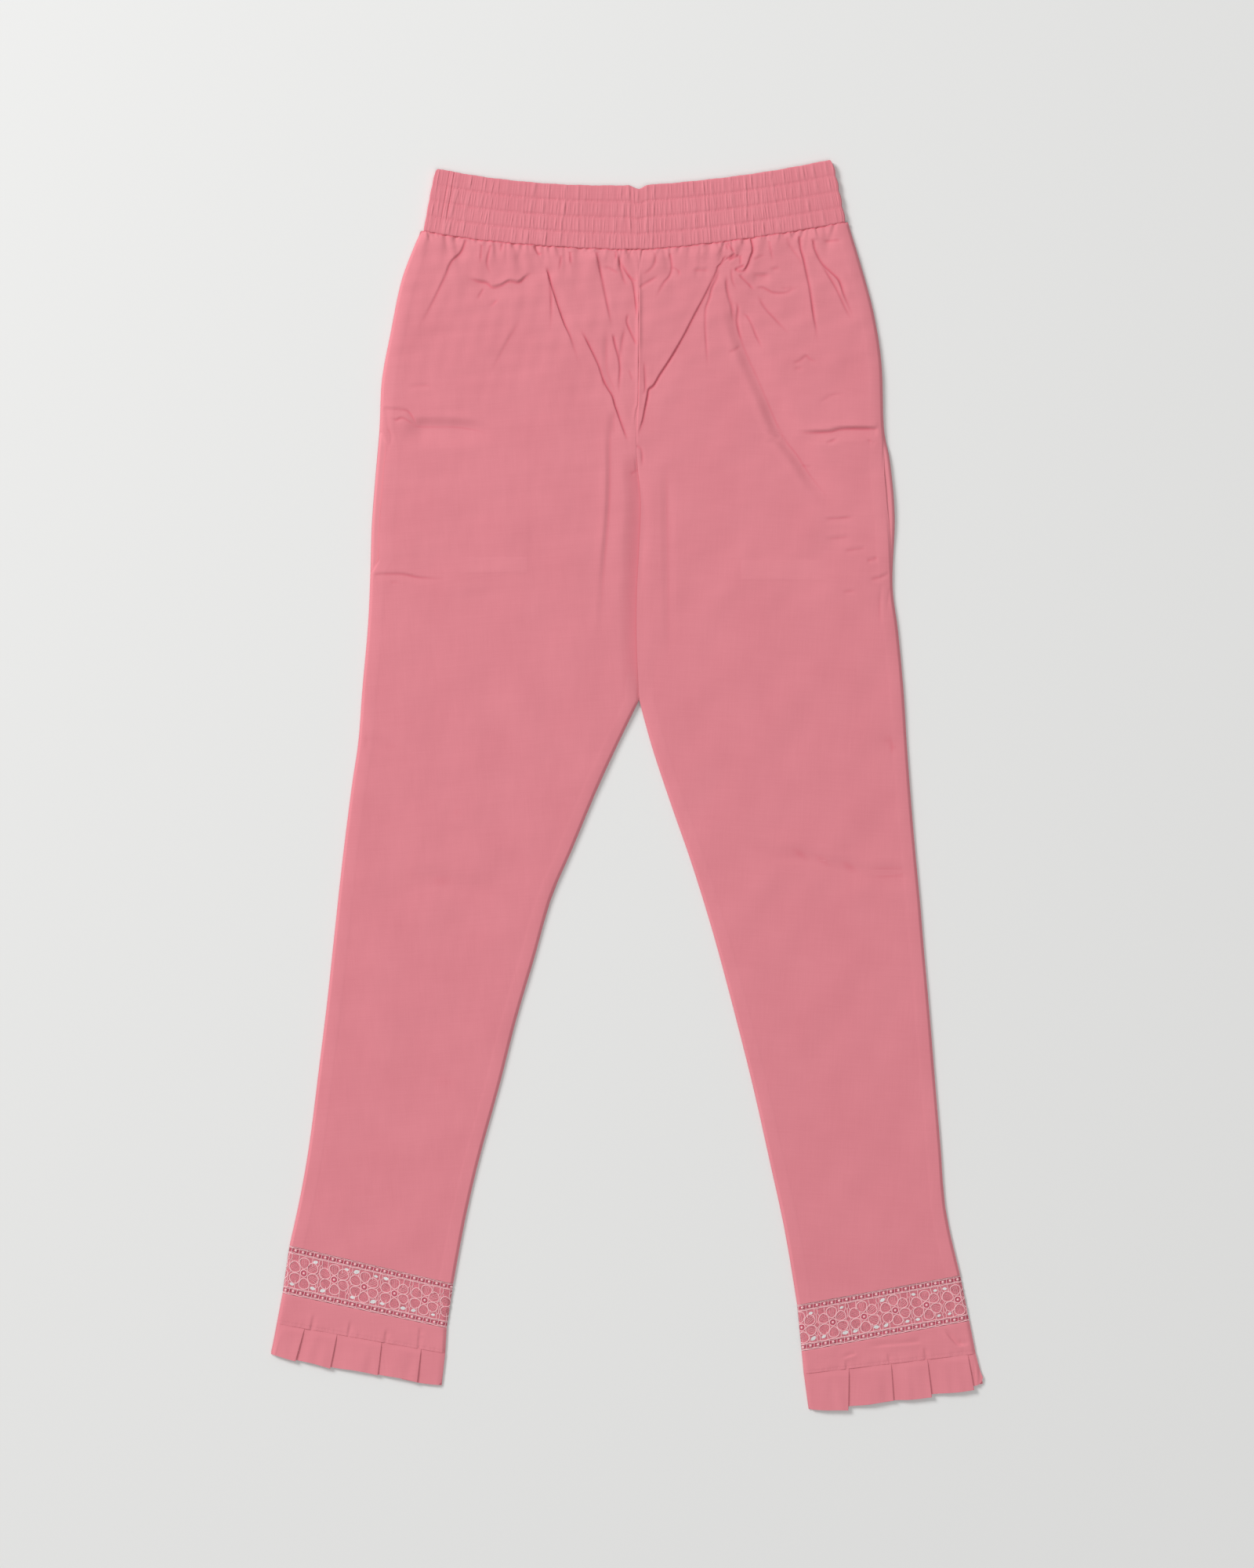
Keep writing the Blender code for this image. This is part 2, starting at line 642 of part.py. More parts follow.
def make_cuff(side, layer):
    rest = LACE_REST if layer == "front" else 0.0
    creases = CUFF_CREASES if layer == "front" else (0, 0)
    lower = strip_grid(side, 1, 2, len(creases), [rest + crease for crease in creases])
    colour = COTTON if layer == "front" else COTTON_BACK
    add_object(f"cuff_{layer}_{side}", wall_between(raised(lower, CLOTH), lower), colour)


def make_back_ruffle(side):
    lower = strip_grid(side, 2, 3, 2, (0.0, 0.0))
    add_object("ruffle_back_" + side, wall_between(raised(lower, CLOTH), lower), COTTON_BACK)


def pleat_path(folds, drops, width):
    """The ruffle's middle line from -X to +X: (distance, height, hem drop) of each point.

    Each piece rises to the top level and ends at its fold edge. There the cloth turns under, runs back
    for the pleat's depth, turns again and becomes the next piece.
    """
    top = 2 * PLEAT_RISE
    turn = PLEAT_RISE / 2
    path = [(0.0, 0.0, max(drops[0] - HEM_STEP, 0.0))]
    for fold, drop in zip(folds, drops):
        last_distance = path[-1][0]
        behind = fold - PLEAT_DEPTH
        path.append((max(behind - RISE_END, last_distance + SHORTEST_RISE), top, drop))
        next_drop = drop - HEM_STEP
        turns = [math.pi * step / PLEAT_TURN_STEPS for step in range(PLEAT_TURN_STEPS + 1)]
        for angle in turns:
            path.append((fold - turn + turn * math.sin(angle), top - turn + turn * math.cos(angle), drop))
        for angle in turns:
            path.append((behind + turn - turn * math.sin(angle), turn + turn * math.cos(angle), next_drop))
        path.append((fold + RISE_START, 0.0, next_drop))
    path.append((width, 0.0, max(drops[-1] - HEM_STEP, 0.0) / 2))
    return path


def offset_path(path, distance):
    """The path moved sideways by a distance in its own plane, with mitred corners."""
    moved = []
    for index, (x, z, drop) in enumerate(path):
        before = path[max(index - 1, 0)]
        after = path[min(index + 1, len(path) - 1)]
        normals = []
        for (ax, az, _), (bx, bz, _) in ((before, path[index]), (path[index], after)):
            length = math.hypot(bx - ax, bz - az)
            if length > 0:
                normals.append((-(bz - az) / length, (bx - ax) / length))
        nx = sum(normal[0] for normal in normals) / len(normals)
        nz = sum(normal[1] for normal in normals) / len(normals)
        square = nx * nx + nz * nz
        moved.append((x + distance * nx / square, z + distance * nz / square, drop))
    return moved


def make_front_ruffle(side):
    """The cloth of the ruffle folded into knife pleats, each fold edge facing +X."""
    pleats = PLEATS[side]
    grids = {"upper": [], "lower": []}
    for down in (0.0, 0.5, 1.0):
        start = strip_corner(side, 2, 3, 0, down, GAP / 2)
        end = strip_corner(side, 2, 3, 1, down, GAP / 2)
        width = math.hypot(end[0] - start[0], end[1] - start[1])
        folds = [between(pleat.seam, pleat.hem, down) * width for pleat in pleats]
        drops = [pleat.drop for pleat in pleats]
        path = pleat_path(folds, drops, width)
        for name, offset in (("upper", RUFFLE_WALL / 2), ("lower", -RUFFLE_WALL / 2)):
            row = []
            for distance, height, drop in offset_path(path, offset):
                x, y = strip_corner(side, 2, 3, distance / width, down, GAP / 2)
                row.append((x, y - drop * down, RUFFLE_CENTRE + height))
            grids[name].append(row)
    add_object("ruffle_front_" + side, wall_between(grids["upper"], grids["lower"]), COTTON)


def main():
    clear_scene()
    make_waistband()
    for side in ("right", "left"):
        make_back_panel(side)
        make_pocket_bag(side)
        make_front_panel(side)
        for layer in ("back", "front"):
            make_lace(side, layer)
            make_cuff(side, layer)
        make_back_ruffle(side)
        make_front_ruffle(side)


main()
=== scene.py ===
"""Looks of the elastic-waist straight pants of pink woven cotton, laid flat with the front up.

Metres, +Z up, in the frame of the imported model. The waist lies towards +Y, the wearer's right leg at -X.
Each cloth piece is a thin closed shell in the place of the solid that it replaces, with its creases, gathers
and seams. The lace is made of cords, threads and knots on a net, and the sewing of single stitches.
"""

import math
from collections import namedtuple

import bmesh
import bpy
import numpy as np
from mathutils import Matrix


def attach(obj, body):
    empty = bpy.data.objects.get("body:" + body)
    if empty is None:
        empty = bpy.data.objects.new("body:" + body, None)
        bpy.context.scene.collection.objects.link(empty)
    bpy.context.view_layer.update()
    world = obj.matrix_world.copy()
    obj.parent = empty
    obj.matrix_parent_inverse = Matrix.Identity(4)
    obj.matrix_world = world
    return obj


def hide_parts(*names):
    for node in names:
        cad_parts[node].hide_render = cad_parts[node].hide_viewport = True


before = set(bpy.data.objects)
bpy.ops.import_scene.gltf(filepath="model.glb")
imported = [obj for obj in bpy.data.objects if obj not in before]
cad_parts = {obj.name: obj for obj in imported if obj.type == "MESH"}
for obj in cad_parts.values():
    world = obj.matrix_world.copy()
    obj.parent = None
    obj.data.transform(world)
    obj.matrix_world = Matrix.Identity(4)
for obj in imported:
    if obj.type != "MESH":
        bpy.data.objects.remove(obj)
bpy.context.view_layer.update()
BODY = "root"

# The layers, as in the model
CLOTH = 0.0012
RUFFLE_WALL = 0.0010
GAP = 0.0003
FRONT_REST = CLOTH + GAP
LACE_REST = FRONT_REST + GAP

# The real cloth: its thickness, and how far its upper face lies above the solid's underside
SHELL = 0.00045
SHELL_TOP = 0.00085
BACK_TOP = 0.00075
BAG_CLEAR = 0.0005

# Waistband: its walls, rounded edges and corners, its grid, and the grooves near its -X end
BAND_BACK_WALL = 0.0020
BAND_INNER_GAP = 0.0006
BAND_FRONT_WALL = 0.0016
BAND_OUTER = BAND_BACK_WALL + BAND_INNER_GAP + BAND_FRONT_WALL
BAND_HEIGHT = 0.050
BAND_EDGE_ROUND = 0.0012
BAND_ROUNDED = 0.42
BAND_CORNER = 0.0060
BAND_CHANNELS = 4
BAND_ROWS_A_CHANNEL = 12
BAND_EDGE_ROWS = (0.0, 0.006, 0.014)
BAND_INNER_ROWS = (0.0, 0.3, 0.7, 1.0)
BAND_FRONT_STEPS = 1200
BAND_BACK_STEPS = 420
BAND_END_STEPS = 8
BAND_GROOVE_AT = 0.0238
BAND_GROOVE_ASIDE = 0.0045
BAND_GROOVE_WIDTH = 0.0005
END_SCALLOPS = (0.0003, -0.0009)
END_SCALLOP_REACH = 0.010

# The waist seam, and its dip at the centre
SEAM_WOBBLE = 0.00030
CENTRE_DIP = 0.0030
CENTRE_DIP_HALF_WIDTH = 0.008
CENTRE_STATION = 3

# Puckers of the band: ranges of their width, space, height and strength at the rows, and their lean
BAND_PUFF = 0.0018
BAND_PUCKERS = 46
BAND_FINE_PUCKERS = 150
WIDE_PUCKER = (0.0008, 0.0018)
FINE_PUCKER = (0.00035, 0.00080)
PUCKER_SPACE = (0.35, 1.8)
PUCKER_HEIGHT = (0.3, 1.0)
PUCKER_STRENGTH = (0.05, 1.0)
PUCKER_LEAN = 0.0035
PUCKER_MARGIN = 0.004
PUCKER_CLEAR = 0.003
PUCKER_STEEP = (1.5, 0.9)
DIMPLE_PITCH = 0.0011
DIMPLE_WIDTH = 0.0009
DIMPLE_MARGIN = 0.002

# Shares of the band's relief: wide and fine puckers, channels between rows, dimples and grooves. It is less
# near the ends
WIDE_SHARE = 0.60
FINE_SHARES = (0.40, 0.55, 0.55, 0.55)
CHANNEL_SHARE = 0.10
PUCKER_SHARE = 0.62
PUCKER_AT_ROWS = 0.52
DIMPLE_SHARE = 0.22
GROOVE_SHARE = 0.34
BAND_PRESSED = 0.80
BAND_END_SHARE = 0.45
BAND_END_CALM = 0.012
BAND_END_RISE = 0.030
BAND_END_FADE = 0.005
BAND_SEED = {"front": 71, "back": 72}
# Painted light and shade on the band: lighter on its puckers' tops, darker in their hollows, by their height
# above a level, within a range
BAND_PAINTED_SHADING = 0.55
BAND_PAINTED_SHADING_LEVEL = 0.24
BAND_PAINTED_SHADING_RANGE = (-0.20, 0.12)

# Stitches: pitch and thread radius, how deep their ends dip in radii, and where the rows lie. Those of the
# band wander by a height, in waves of radians to its width
BAND_STITCH = (0.0022, 0.00017)
CUFF_STITCH = (0.0024, 0.00015)
STITCH_STEPS = 6
STITCH_END_DIP = 1.5
STITCH_ROW_FROM_SEAM = 0.0016
BAND_STITCH_FROM_END = 0.012
BAND_STITCH_WOBBLE = (0.0002, 90)
CUFF_STITCH_LIFT = 0.00002
CUFF_STITCH_PARTS = np.linspace(0.02, 0.98, 200)

# Panels: rounded edges, seams, and the lap of the left front on the right one
EDGE_ROLL = 0.012
SEAM_ALLOWANCE = 0.011
ALLOWANCE_HEIGHT = 0.00008
SEAM_GAP = 0.00001
SEAM_CALM = 0.0005
SEAM_SHADE = 0.0008
WAIST_TUCK = 0.0003
WAIST_GROOVE = 0.00026
WAIST_GROOVE_WIDTH = 0.0010
WAIST_DROP_FADE = 0.004
LAP_WIDTH = 0.013
LAP_LOW = 0.37
LAP_HELD = 0.0010
LAP_JOIN = 0.0003
LAP_OVER_REACH = 1.6
SOFT_JOIN = 0.0004
TUCK_CLEARANCE = 0.0010
TUCK_FADE = 0.002
MOUTH_INSET = {"right": 0.0064, "left": 0.0060}
MOUTH_LIFT = 0.0005
MOUTH_REACH = 1.5

# How far the edges of the upper pieces turn down to the pieces below them
EDGE_DROP_WIDTH = 0.0024
PANEL_DROP = 0.00142
BAG_EDGE_DROP = 0.00095
LACE_DROP = 0.0011
CUFF_DROP = 0.0013
RUFFLE_DROP = 0.00080

# Grids of the panels
PANEL_COLUMNS = 191
UPPER_ROWS = 300
UPPER_END = 7.4
LEG_ROWS_FINE = 86
WAIST_ROWS = (0.0, 0.012, 0.026)
DENSITY_SAMPLES = 400
EDGE_DENSITY = 2.2
EDGE_DENSITY_WIDTH = 0.004
CREASE_DENSITY = 1.6
PLACE_SAMPLES = 2000

# Back panels, which stand up a little from the floor at their creases
BACK_COLUMNS = 72
BACK_ROW_STEP = 3
BACK_LIFT = 0.0001
BACK_LIFT_MOST = 0.0011
BACK_GATHER_SHARE = 0.6
BACK_TOP_SHARE = 0.6
BACK_EDGE_FADE = 0.006

# Pocket bags
BAG_REST = 0.00068
BAG_BELOW_PANEL = 0.0004
BAG_DROP = 0.004
BAG_DROP_FROM = 0.0012
BAG_OPENED = 0.0008
BAG_SIDE_INSET = 0.0065
BAG_MOUTH_INSET = 0.0003
BAG_ROLL = 0.0025
BAG_CORNER = 0.008
BAG_ROWS = 120
BAG_COLUMNS = 48
BAG_COLUMN_POWER = 2.2

# Cuffs: their loft and seams, and the little tugs of the stitches above the ruffle
CUFF_ROWS = 26
STRIP_COLUMNS = 150
CUFF_REST = 0.00075
CUFF_LOFT = 0.0003
CUFF_END_FADE = 0.005
CUFF_SEAM_DIP = 0.0002
CUFF_SEAM_WIDTH = 0.0012
CUFF_BACK_LIFT = 0.00012
CUFF_BACK_MOST = 0.0006
TUG_SEED = 85
TUG_PITCH = 0.0014
TUG_MARGIN = 0.003
TUG_HEIGHT = 0.00016
TUG_WIDTH = 0.0022
STITCH_DIP = 0.00022
STITCH_DIP_WIDTH = 0.0006

# Knife pleats of the ruffle, and the steps along the parts of each
PLEAT_DEPTH = 0.012
PLEAT_RISE = 0.00038
PLEAT_ON_TOP = 2 * PLEAT_RISE - 0.0001
RUFFLE_SHELL = 0.0003
RUFFLE_CENTRE = FRONT_REST + RUFFLE_WALL / 2
RISE_START = 0.0010
RISE_END = 0.0025
SHORTEST_RISE = 0.004
RISE_SHARES = np.linspace(0.12, 1.0, 10)
TOP_SHARES = np.linspace(0.1, 0.95, 12)
TURN_ANGLES = np.linspace(0, math.pi, 9)
FLAT_SHARES = np.linspace(0.1, 1.0, 6)
END_SHARES = np.linspace(0.1, 1.0, 8)
RUFFLE_ROWS = (-0.004, *np.linspace(0.03, 1.0, 22))

# How the ruffle is pressed at its seam and free at its hem, its waves, of height and radians to the metre,
# and the back's pressed steps
PRESSED_SHARE = 0.3
PRESSED_DEPTH = 0.16
FREE_BY = 1.4
PLEAT_LOFT = 0.00020
PLEAT_LOFT_FROM = 0.0006
PLEAT_WAVE = (0.00018, 260)
PLEAT_SMALL_WAVE = (0.00010, 610)
HEM_WAVE = (0.0003, 180)
CRUMPLE_WAVE = (0.00022, 1500)
CRUMPLE_FROM_PLEAT = 0.0005
CRUMPLE_RISE = 0.002
LAST_HEM_DROP = 0.0008
RUFFLE_SEED = {"right": 91, "left": 92}
BACK_RUFFLE_ROWS = np.linspace(0.004, 1, 16)
BACK_RUFFLE_TOP = BACK_TOP + 0.0002
BACK_STEP = 0.00045
BACK_STEP_WIDTH = 0.0006
BACK_STEP_FADE = 0.018

# Lace, across its 37 mm: its rails, with cords of place and radius, a strip of net, knots and bars
LACE_HALF = 0.0185
OUTER_CORD = 0.0180
INNER_CORD = 0.0131
RAIL_CORDS = ((OUTER_CORD, 0.00038), (0.0171, 0.00022), (0.0139, 0.00022), (INNER_CORD, 0.00037))
RAIL_STEPS = 150
RAIL_WAVE = (0.00012, 700)
RAIL_NET_LEVEL = -0.0002
RAIL_NET_HALF = (OUTER_CORD - INNER_CORD) / 2 - 0.0001
RAIL_KNOT_PITCH = 0.0059
RAIL_KNOT = (0.00112, 0.0007)
RAIL_BAR = 0.00026
RAIL_BAR_LEAN = 0.0003
KNOT_WANDER = 0.0002
NET_THICK = 0.00012
GROUND_HALF = 0.0129
STRIP_STEPS = 40
STRIP_PAST_END = 0.005
LACE_MARGIN = 0.006
LACE_CUT_MARGIN = 0.018
LACE_LIFT = {"front": 0.00042, "back": 0.00055}
LACE_WAVE = ((0.00012, 120, 1.0),)
LACE_SEED = {"right": 101, "left": 102}
BACK_LACE_SEED = 10

# Flowers: petals round a ring, each a little turned and sized, with threads that end inside the petal
CORD_RADIUS = 0.00037
CURVE_STEPS = 18
FLOWER_TURN = (-0.02, 0.18)
FLOWER_WANDER = 0.0003
FLOWER_KNOT = (0.00105, 0.0005)
RING_RADIUS = 0.0027
RING_CORD = 0.00042
RING_FACE = 0.00010
PETALS = 6
PETAL_REACH = 0.0079
PETAL_HALF_LENGTH = 0.0043
PETAL_HALF_WIDTH = 0.0040
PETAL_EGG = 0.22
PETAL_TURN = 0.05
PETAL_SIZE = (0.95, 1.03)
PETAL_THREAD = 0.00011
PETAL_THREADS_AT = (-0.0014, 0.0, 0.0014)
PETAL_THREAD_REACH = np.linspace(-0.72, 0.80, 5)
PETAL_THREAD_LEVEL = 0.00004

# Cords between flowers: diamond, leaves, and the brides that tie petals to the rails and to their neighbours
DIAMOND = (0.0023, 0.0027)
LEAF_CORD = CORD_RADIUS * 0.85
LEAF_BOTTOM = 0.0076
LEAF_MIDDLE = 0.0098
LEAF_TOP = 0.0128
LEAF_HALF_WIDTH = 0.0014
LEAF_HALF_TOP = 0.0010
BRIDE_CORD = CORD_RADIUS * 0.8
BRIDE_ASIDE = 0.0056
BRIDE_START = 0.0066
BRIDE_MIDDLE = 0.0100
BRIDE_LEAN = 0.0004
SHORT_BRIDE_CORD = CORD_RADIUS * 0.7
SHORT_BRIDE = ((1.75, 0.0062), (1.95, 0.0088))

# Openings beside the petals' tips, each filled with a near white plate of painted light that stands for the
# lit floor seen through it. Fewer are open towards the panel, 1, than towards the cuff, -1
WINDOW_STEPS = 12
WINDOW_ASIDE = 0.0040
WINDOW_OUT = 0.0101
WINDOW_HALF_WIDTH = 0.0021
WINDOW_HALF_HEIGHT = 0.0014
WINDOW_CHANCE = {1: 0.45, -1: 0.85}
WINDOW_SIZE = (0.70, 1.1)
WINDOW_TILT = 0.4
WINDOW_WANDER = 0.0004
WINDOW_FROM_END = 0.004
WINDOW_LEVEL = 0.00003
WINDOW_THICK = 0.00002
WINDOW_CROWN = 0.00004
WINDOW_SEED = {"right": 111, "left": 112}

# Small shapes: how a plate is crowned, and the rings of a knot, of width and height
PLATE_INNER = 0.55
PLATE_TOP = 1.15
KNOT_RINGS = ((1.0, 0.0), (0.75, 0.75), (0.3, 0.98))
KNOT_SIDES = 8

# Edges sharper than this many degrees aren't smoothed
CLOTH_SHARP = 55
SHAPE_SHARP = 70

# Slots of the lace's materials, the last of them the painted light in the openings. The sewing has one
# material, in the first
CORD_SLOT, NET_SLOT, RAIL_SLOT, LIT_FLOOR_SLOT = range(4)

# Strips across the leg below the panel
LACE, CUFF, RUFFLE = range(3)

Row = namedtuple("Row", "outer_x outer_y inner_x inner_y")
Station = namedtuple("Station", "top_x top_y seam_x seam_y")
Pleat = namedtuple("Pleat", "seam hem start drop")
Bag = namedtuple("Bag", "inner_x top_y bottom_y")
Flowers = namedtuple("Flowers", "first pitch count")
Pinches = namedtuple("Pinches", "width length depth space")
Ripple = namedtuple("Ripple", "seed size height")
Strip = namedtuple("Strip", "low_x high_x low_y high_y low_blur high_blur")
Look = namedtuple("Look", "material nodes links shader place")
CreaseField = namedtuple("CreaseField", "height shift_x shift_y sharp line")
# A crease runs along its points, and fades over its first part, start, and its last part, end. Looking along
# it, minus is its width on the right hand and plus on the left: for one that runs towards the hem, the -X and
# the +X side. Depth is positive down. Lap is how far the cloth at the minus side hangs over the crease.
Crease = namedtuple("Crease", "side minus plus depth start end points lap", defaults=(0.0,))

# How a crease's line of painted shade, crest and overhang are drawn. It leans, with a crest at its steep
# side, where one side is more than LEAN_FROM times as wide as the other
LINE_WIDTH = 0.0009
LAP_FADE = 0.004
CREST_SHARE = 0.40
CREST_WIDTH = 0.0055
LEAN_FROM = 1.4
LEAN_RANGE = 2
SHARP_SLOPE = 1.6
SHARP_MOST = 3.0
SHARP_MARGIN = 0.0012
UNEVEN = 0.12
UNEVEN_RATE = 11
UNEVEN_STEP = 1.7
PATH_STEPS = 8

# Pinches of the waist gathers: ranges of width, length, depth and space, and the draws of both layers.
# Each pinch leans by up to PINCH_LEAN, widens downwards and has a crest beside it, in widths of the pinch
SMALL_PINCHES = Pinches((0.0007, 0.0020), (0.004, 0.032), (0.00015, 0.00075), (0.0018, 0.0085))
LONG_PINCHES = Pinches((0.0020, 0.0040), (0.020, 0.075), (0.00025, 0.00075), (0.0070, 0.0180))
LONG_PINCH_SEED = 100
GATHER_SEED = {"front": 11, "back": 41}
GATHERED = {"right": (-0.160, 0.006), "left": (0.012, 0.168)}
PINCH_LEAN = 0.35
PINCH_WIDENS_IN = 0.014
PINCH_SLOW_SIDE = (1.2, 2.6)
PINCH_CREST = 0.5
PINCH_CREST_AT = 1.5
PINCH_CREST_WIDTH = 1.1

# Slow waves of the cloth. Where a piece of each side has its own, the left's seed is one more
RIPPLE_SINES = 9
RIPPLE_SPREAD = (0.6, 1.8)
FRONT_WAVES = Ripple(21, 0.050, 0.00022)
FRONT_CRUMPLES = Ripple(31, 0.017, 0.00018)
CRUMPLE_LEAST = 0.3
CRUMPLE_REACH = 0.12
BACK_WAVES = Ripple(51, 0.06, 0.00010)
BAG_WAVES = Ripple(61, 0.03, 0.00007)
CUFF_WAVES = Ripple(81, 0.022, 0.00012)

# Sums of sines: height, radians to the metre, and phase of each
SEAM_SINES = ((0.6, 760, 1.1), (0.7, 1310, 2.3), (0.9, 237, 0.4))
SEAM_SINES_REACH = 1.6
# Where the painted shade below the waistband has darker spots
SEAM_SHADE_DOT_SINES = ((0.5, 2100, 0), (0.5, 830, 1.0))
TOP_EDGE_SINES = ((0.00012, 310, 0), (0.00006, 1010, 1.0))

# The pinched ridge on the centre front seam, and the fine line of the seam itself
RIDGE_HEIGHT = 0.0008
RIDGE_WIDTH = 0.0020
RIDGE_LOW = 0.330
RIDGE_LOW_FADE = 0.020
RIDGE_HIGH = 0.404
RIDGE_HIGH_FADE = 0.016
SEAM_LINE_DEPTH = 0.00010
SEAM_LINE_WIDTH = 0.0007

# How layers under the cloth show through: how blurred their edges are, how far they lift it, and their tints
PRINT_BLUR = 0.0008
BAG_BLUR = 0.0012
BAG_TOP_BLUR = 0.004
BAG_PRINT_HEIGHT = 0.00004
STRIP_PRINT_HEIGHT = 0.00006
ALLOWANCE_TINT = 0.15
BAG_TINT = 0.04
STRIP_TINT = 0.24

# Other tints: painted shade in the creases, on the cloth under the lap and below the waistband, with
# spots of darker painted shade, and the tints of pockets, cuffs and ruffles
PAINTED_CREASE_SHADE = 0.75
PAINTED_LAP_SHADE = 0.20
PAINTED_SEAM_SHADE = 0.36
PAINTED_SEAM_SHADE_DOTS = 0.50
POCKET_TINT = 0.8
TRIM_TINT = 0.1


def creases(side, rows):
    """Creases of one side, from rows of minus, plus, depth, start, end, points and, for some, lap."""
    return [Crease(side, *row) for row in rows]


CROTCH_ROW = 4
FORK_ROW = 9
LEG_ROWS = {
    "right": (
        Row(-0.1600, 0.4268, 0.0088, 0.4140),
        Row(-0.1742, 0.3922, 0.0091, 0.3800),
        Row(-0.1833, 0.3496, 0.0091, 0.3405),
        Row(-0.1900, 0.3131, 0.0088, 0.3010),
        Row(-0.1918, 0.2766, 0.0073, 0.2602),
        Row(-0.1949, 0.2402, 0.0106, 0.2189),
        Row(-0.1979, 0.2006, 0.0094, 0.1824),
        Row(-0.1991, 0.1599, 0.0076, 0.1459),
        Row(-0.2009, 0.1216, 0.0076, 0.1064),
        Row(-0.2052, 0.0730, 0.0094, 0.0651),
        Row(-0.2082, 0.0334, -0.0088, 0.0274),
        Row(-0.2131, 0.0000, -0.0246, -0.0073),
        Row(-0.2186, -0.0426, -0.0423, -0.0499),
        Row(-0.2228, -0.0790, -0.0587, -0.0882),
        Row(-0.2277, -0.1246, -0.0720, -0.1350),
        Row(-0.2326, -0.1702, -0.0860, -0.1824),
        Row(-0.2386, -0.2189, -0.0988, -0.2329),
        Row(-0.2459, -0.2766, -0.1152, -0.2924),
        Row(-0.2532, -0.3192, -0.1262, -0.3405),
        Row(-0.2616, -0.3575, -0.1348, -0.3872),
    ),
    "left": (
        Row(0.1712, 0.4347, 0.0088, 0.4140),
        Row(0.1815, 0.4013, 0.0091, 0.3800),
        Row(0.1912, 0.3648, 0.0091, 0.3405),
        Row(0.1973, 0.3253, 0.0088, 0.3010),
        Row(0.1991, 0.2766, 0.0073, 0.2602),
        Row(0.2040, 0.2493, 0.0106, 0.2189),
        Row(0.2076, 0.2067, 0.0094, 0.1824),
        Row(0.2058, 0.1550, 0.0076, 0.1459),
        Row(0.2101, 0.1186, 0.0076, 0.1064),
        Row(0.2143, 0.0730, 0.0094, 0.0651),
        Row(0.2168, 0.0328, 0.0198, 0.0274),
        Row(0.2198, -0.0091, 0.0350, -0.0182),
        Row(0.2234, -0.0517, 0.0489, -0.0578),
        Row(0.2271, -0.0912, 0.0623, -0.1003),
        Row(0.2301, -0.1277, 0.0727, -0.1368),
        Row(0.2344, -0.1763, 0.0866, -0.1897),
        Row(0.2386, -0.2280, 0.0988, -0.2389),
        Row(0.2429, -0.2797, 0.1110, -0.2937),
        Row(0.2472, -0.3314, 0.1225, -0.3466),
        Row(0.2582, -0.3806, 0.1320, -0.4036),
    ),
}

# Seams across the leg below the panel: lace top, lace bottom, ruffle seam and hem
LEG_ENDS = {
    "right": (
        LEG_ROWS["right"][-1],
        Row(-0.2670, -0.3945, -0.1399, -0.4216),
        Row(-0.2715, -0.4181, -0.1410, -0.4411),
        Row(-0.2760, -0.4420, -0.1438, -0.4662),
    ),
    "left": (
        LEG_ROWS["left"][-1],
        Row(0.2653, -0.4160, 0.1355, -0.4396),
        Row(0.2703, -0.4414, 0.1371, -0.4570),
        Row(0.2760, -0.4649, 0.1409, -0.4846),
    ),
}

WAISTBAND = (
    Station(-0.1490, 0.4770, -0.1580, 0.4280),
    Station(-0.1050, 0.4695, -0.1120, 0.4210),
    Station(-0.0500, 0.4645, -0.0530, 0.4160),
    Station(0.0088, 0.4640, 0.0088, 0.4140),
    Station(0.0600, 0.4680, 0.0630, 0.4185),
    Station(0.1120, 0.4750, 0.1170, 0.4260),
    Station(0.1600, 0.4840, 0.1700, 0.4350),
)

# Pairs of row and height, row and width, or row and share
LOFT = (
    (0, 0.0017), (0.35, 0.0027), (1, 0.0029), (4, 0.0027),
    (9, 0.0018), (14, 0.0012), (18, 0.0008), (19, 0.0004),
)
TUCK = ((4.35, 0), (5, 0.0036), (6, 0.0061), (7, 0.0073), (8, 0.0055), (9, 0))
INSEAM = ((4, 0), (5.2, 1))
LAP_OVER = ((4.1, 0), (4.6, 0.0018), (8.5, 0.0018), (10, 0))
LAP_UNDER = ((4.1, 0), (4.6, 1), (8.2, 1), (9, 0))
MOUTH = {
    "right": ((4, 0), (4.5, 1), (6.6, 1), (6.95, 0)),
    "left": ((4, 0), (5.4, 1), (5.7, 1), (7, 0)),
}
BAG_REACH = ((3.6, 0), (4, 1), (7, 1), (7.4, 0))

BAGS = {"right": Bag(-0.0763, 0.3160, 0.1635), "left": Bag(0.0879, 0.3160, 0.1581)}
# The seam of each bag, which shows as a lighter strip above the bag's bottom
BAG_STRIP = {
    "right": Strip(-0.125, -0.0775, 0.1640, 0.1755, 0.010, 0.0008),
    "left": Strip(0.0890, 0.152, 0.1585, 0.1735, 0.0008, 0.012),
}

CENTRE_SEAM = (
    (0.0087, 0.3943), (0.0087, 0.3891), (0.0087, 0.3579), (0.0085, 0.3301), (0.0082, 0.2971),
    (0.0066, 0.2901), (0.0054, 0.2823), (0.0047, 0.2693),
)

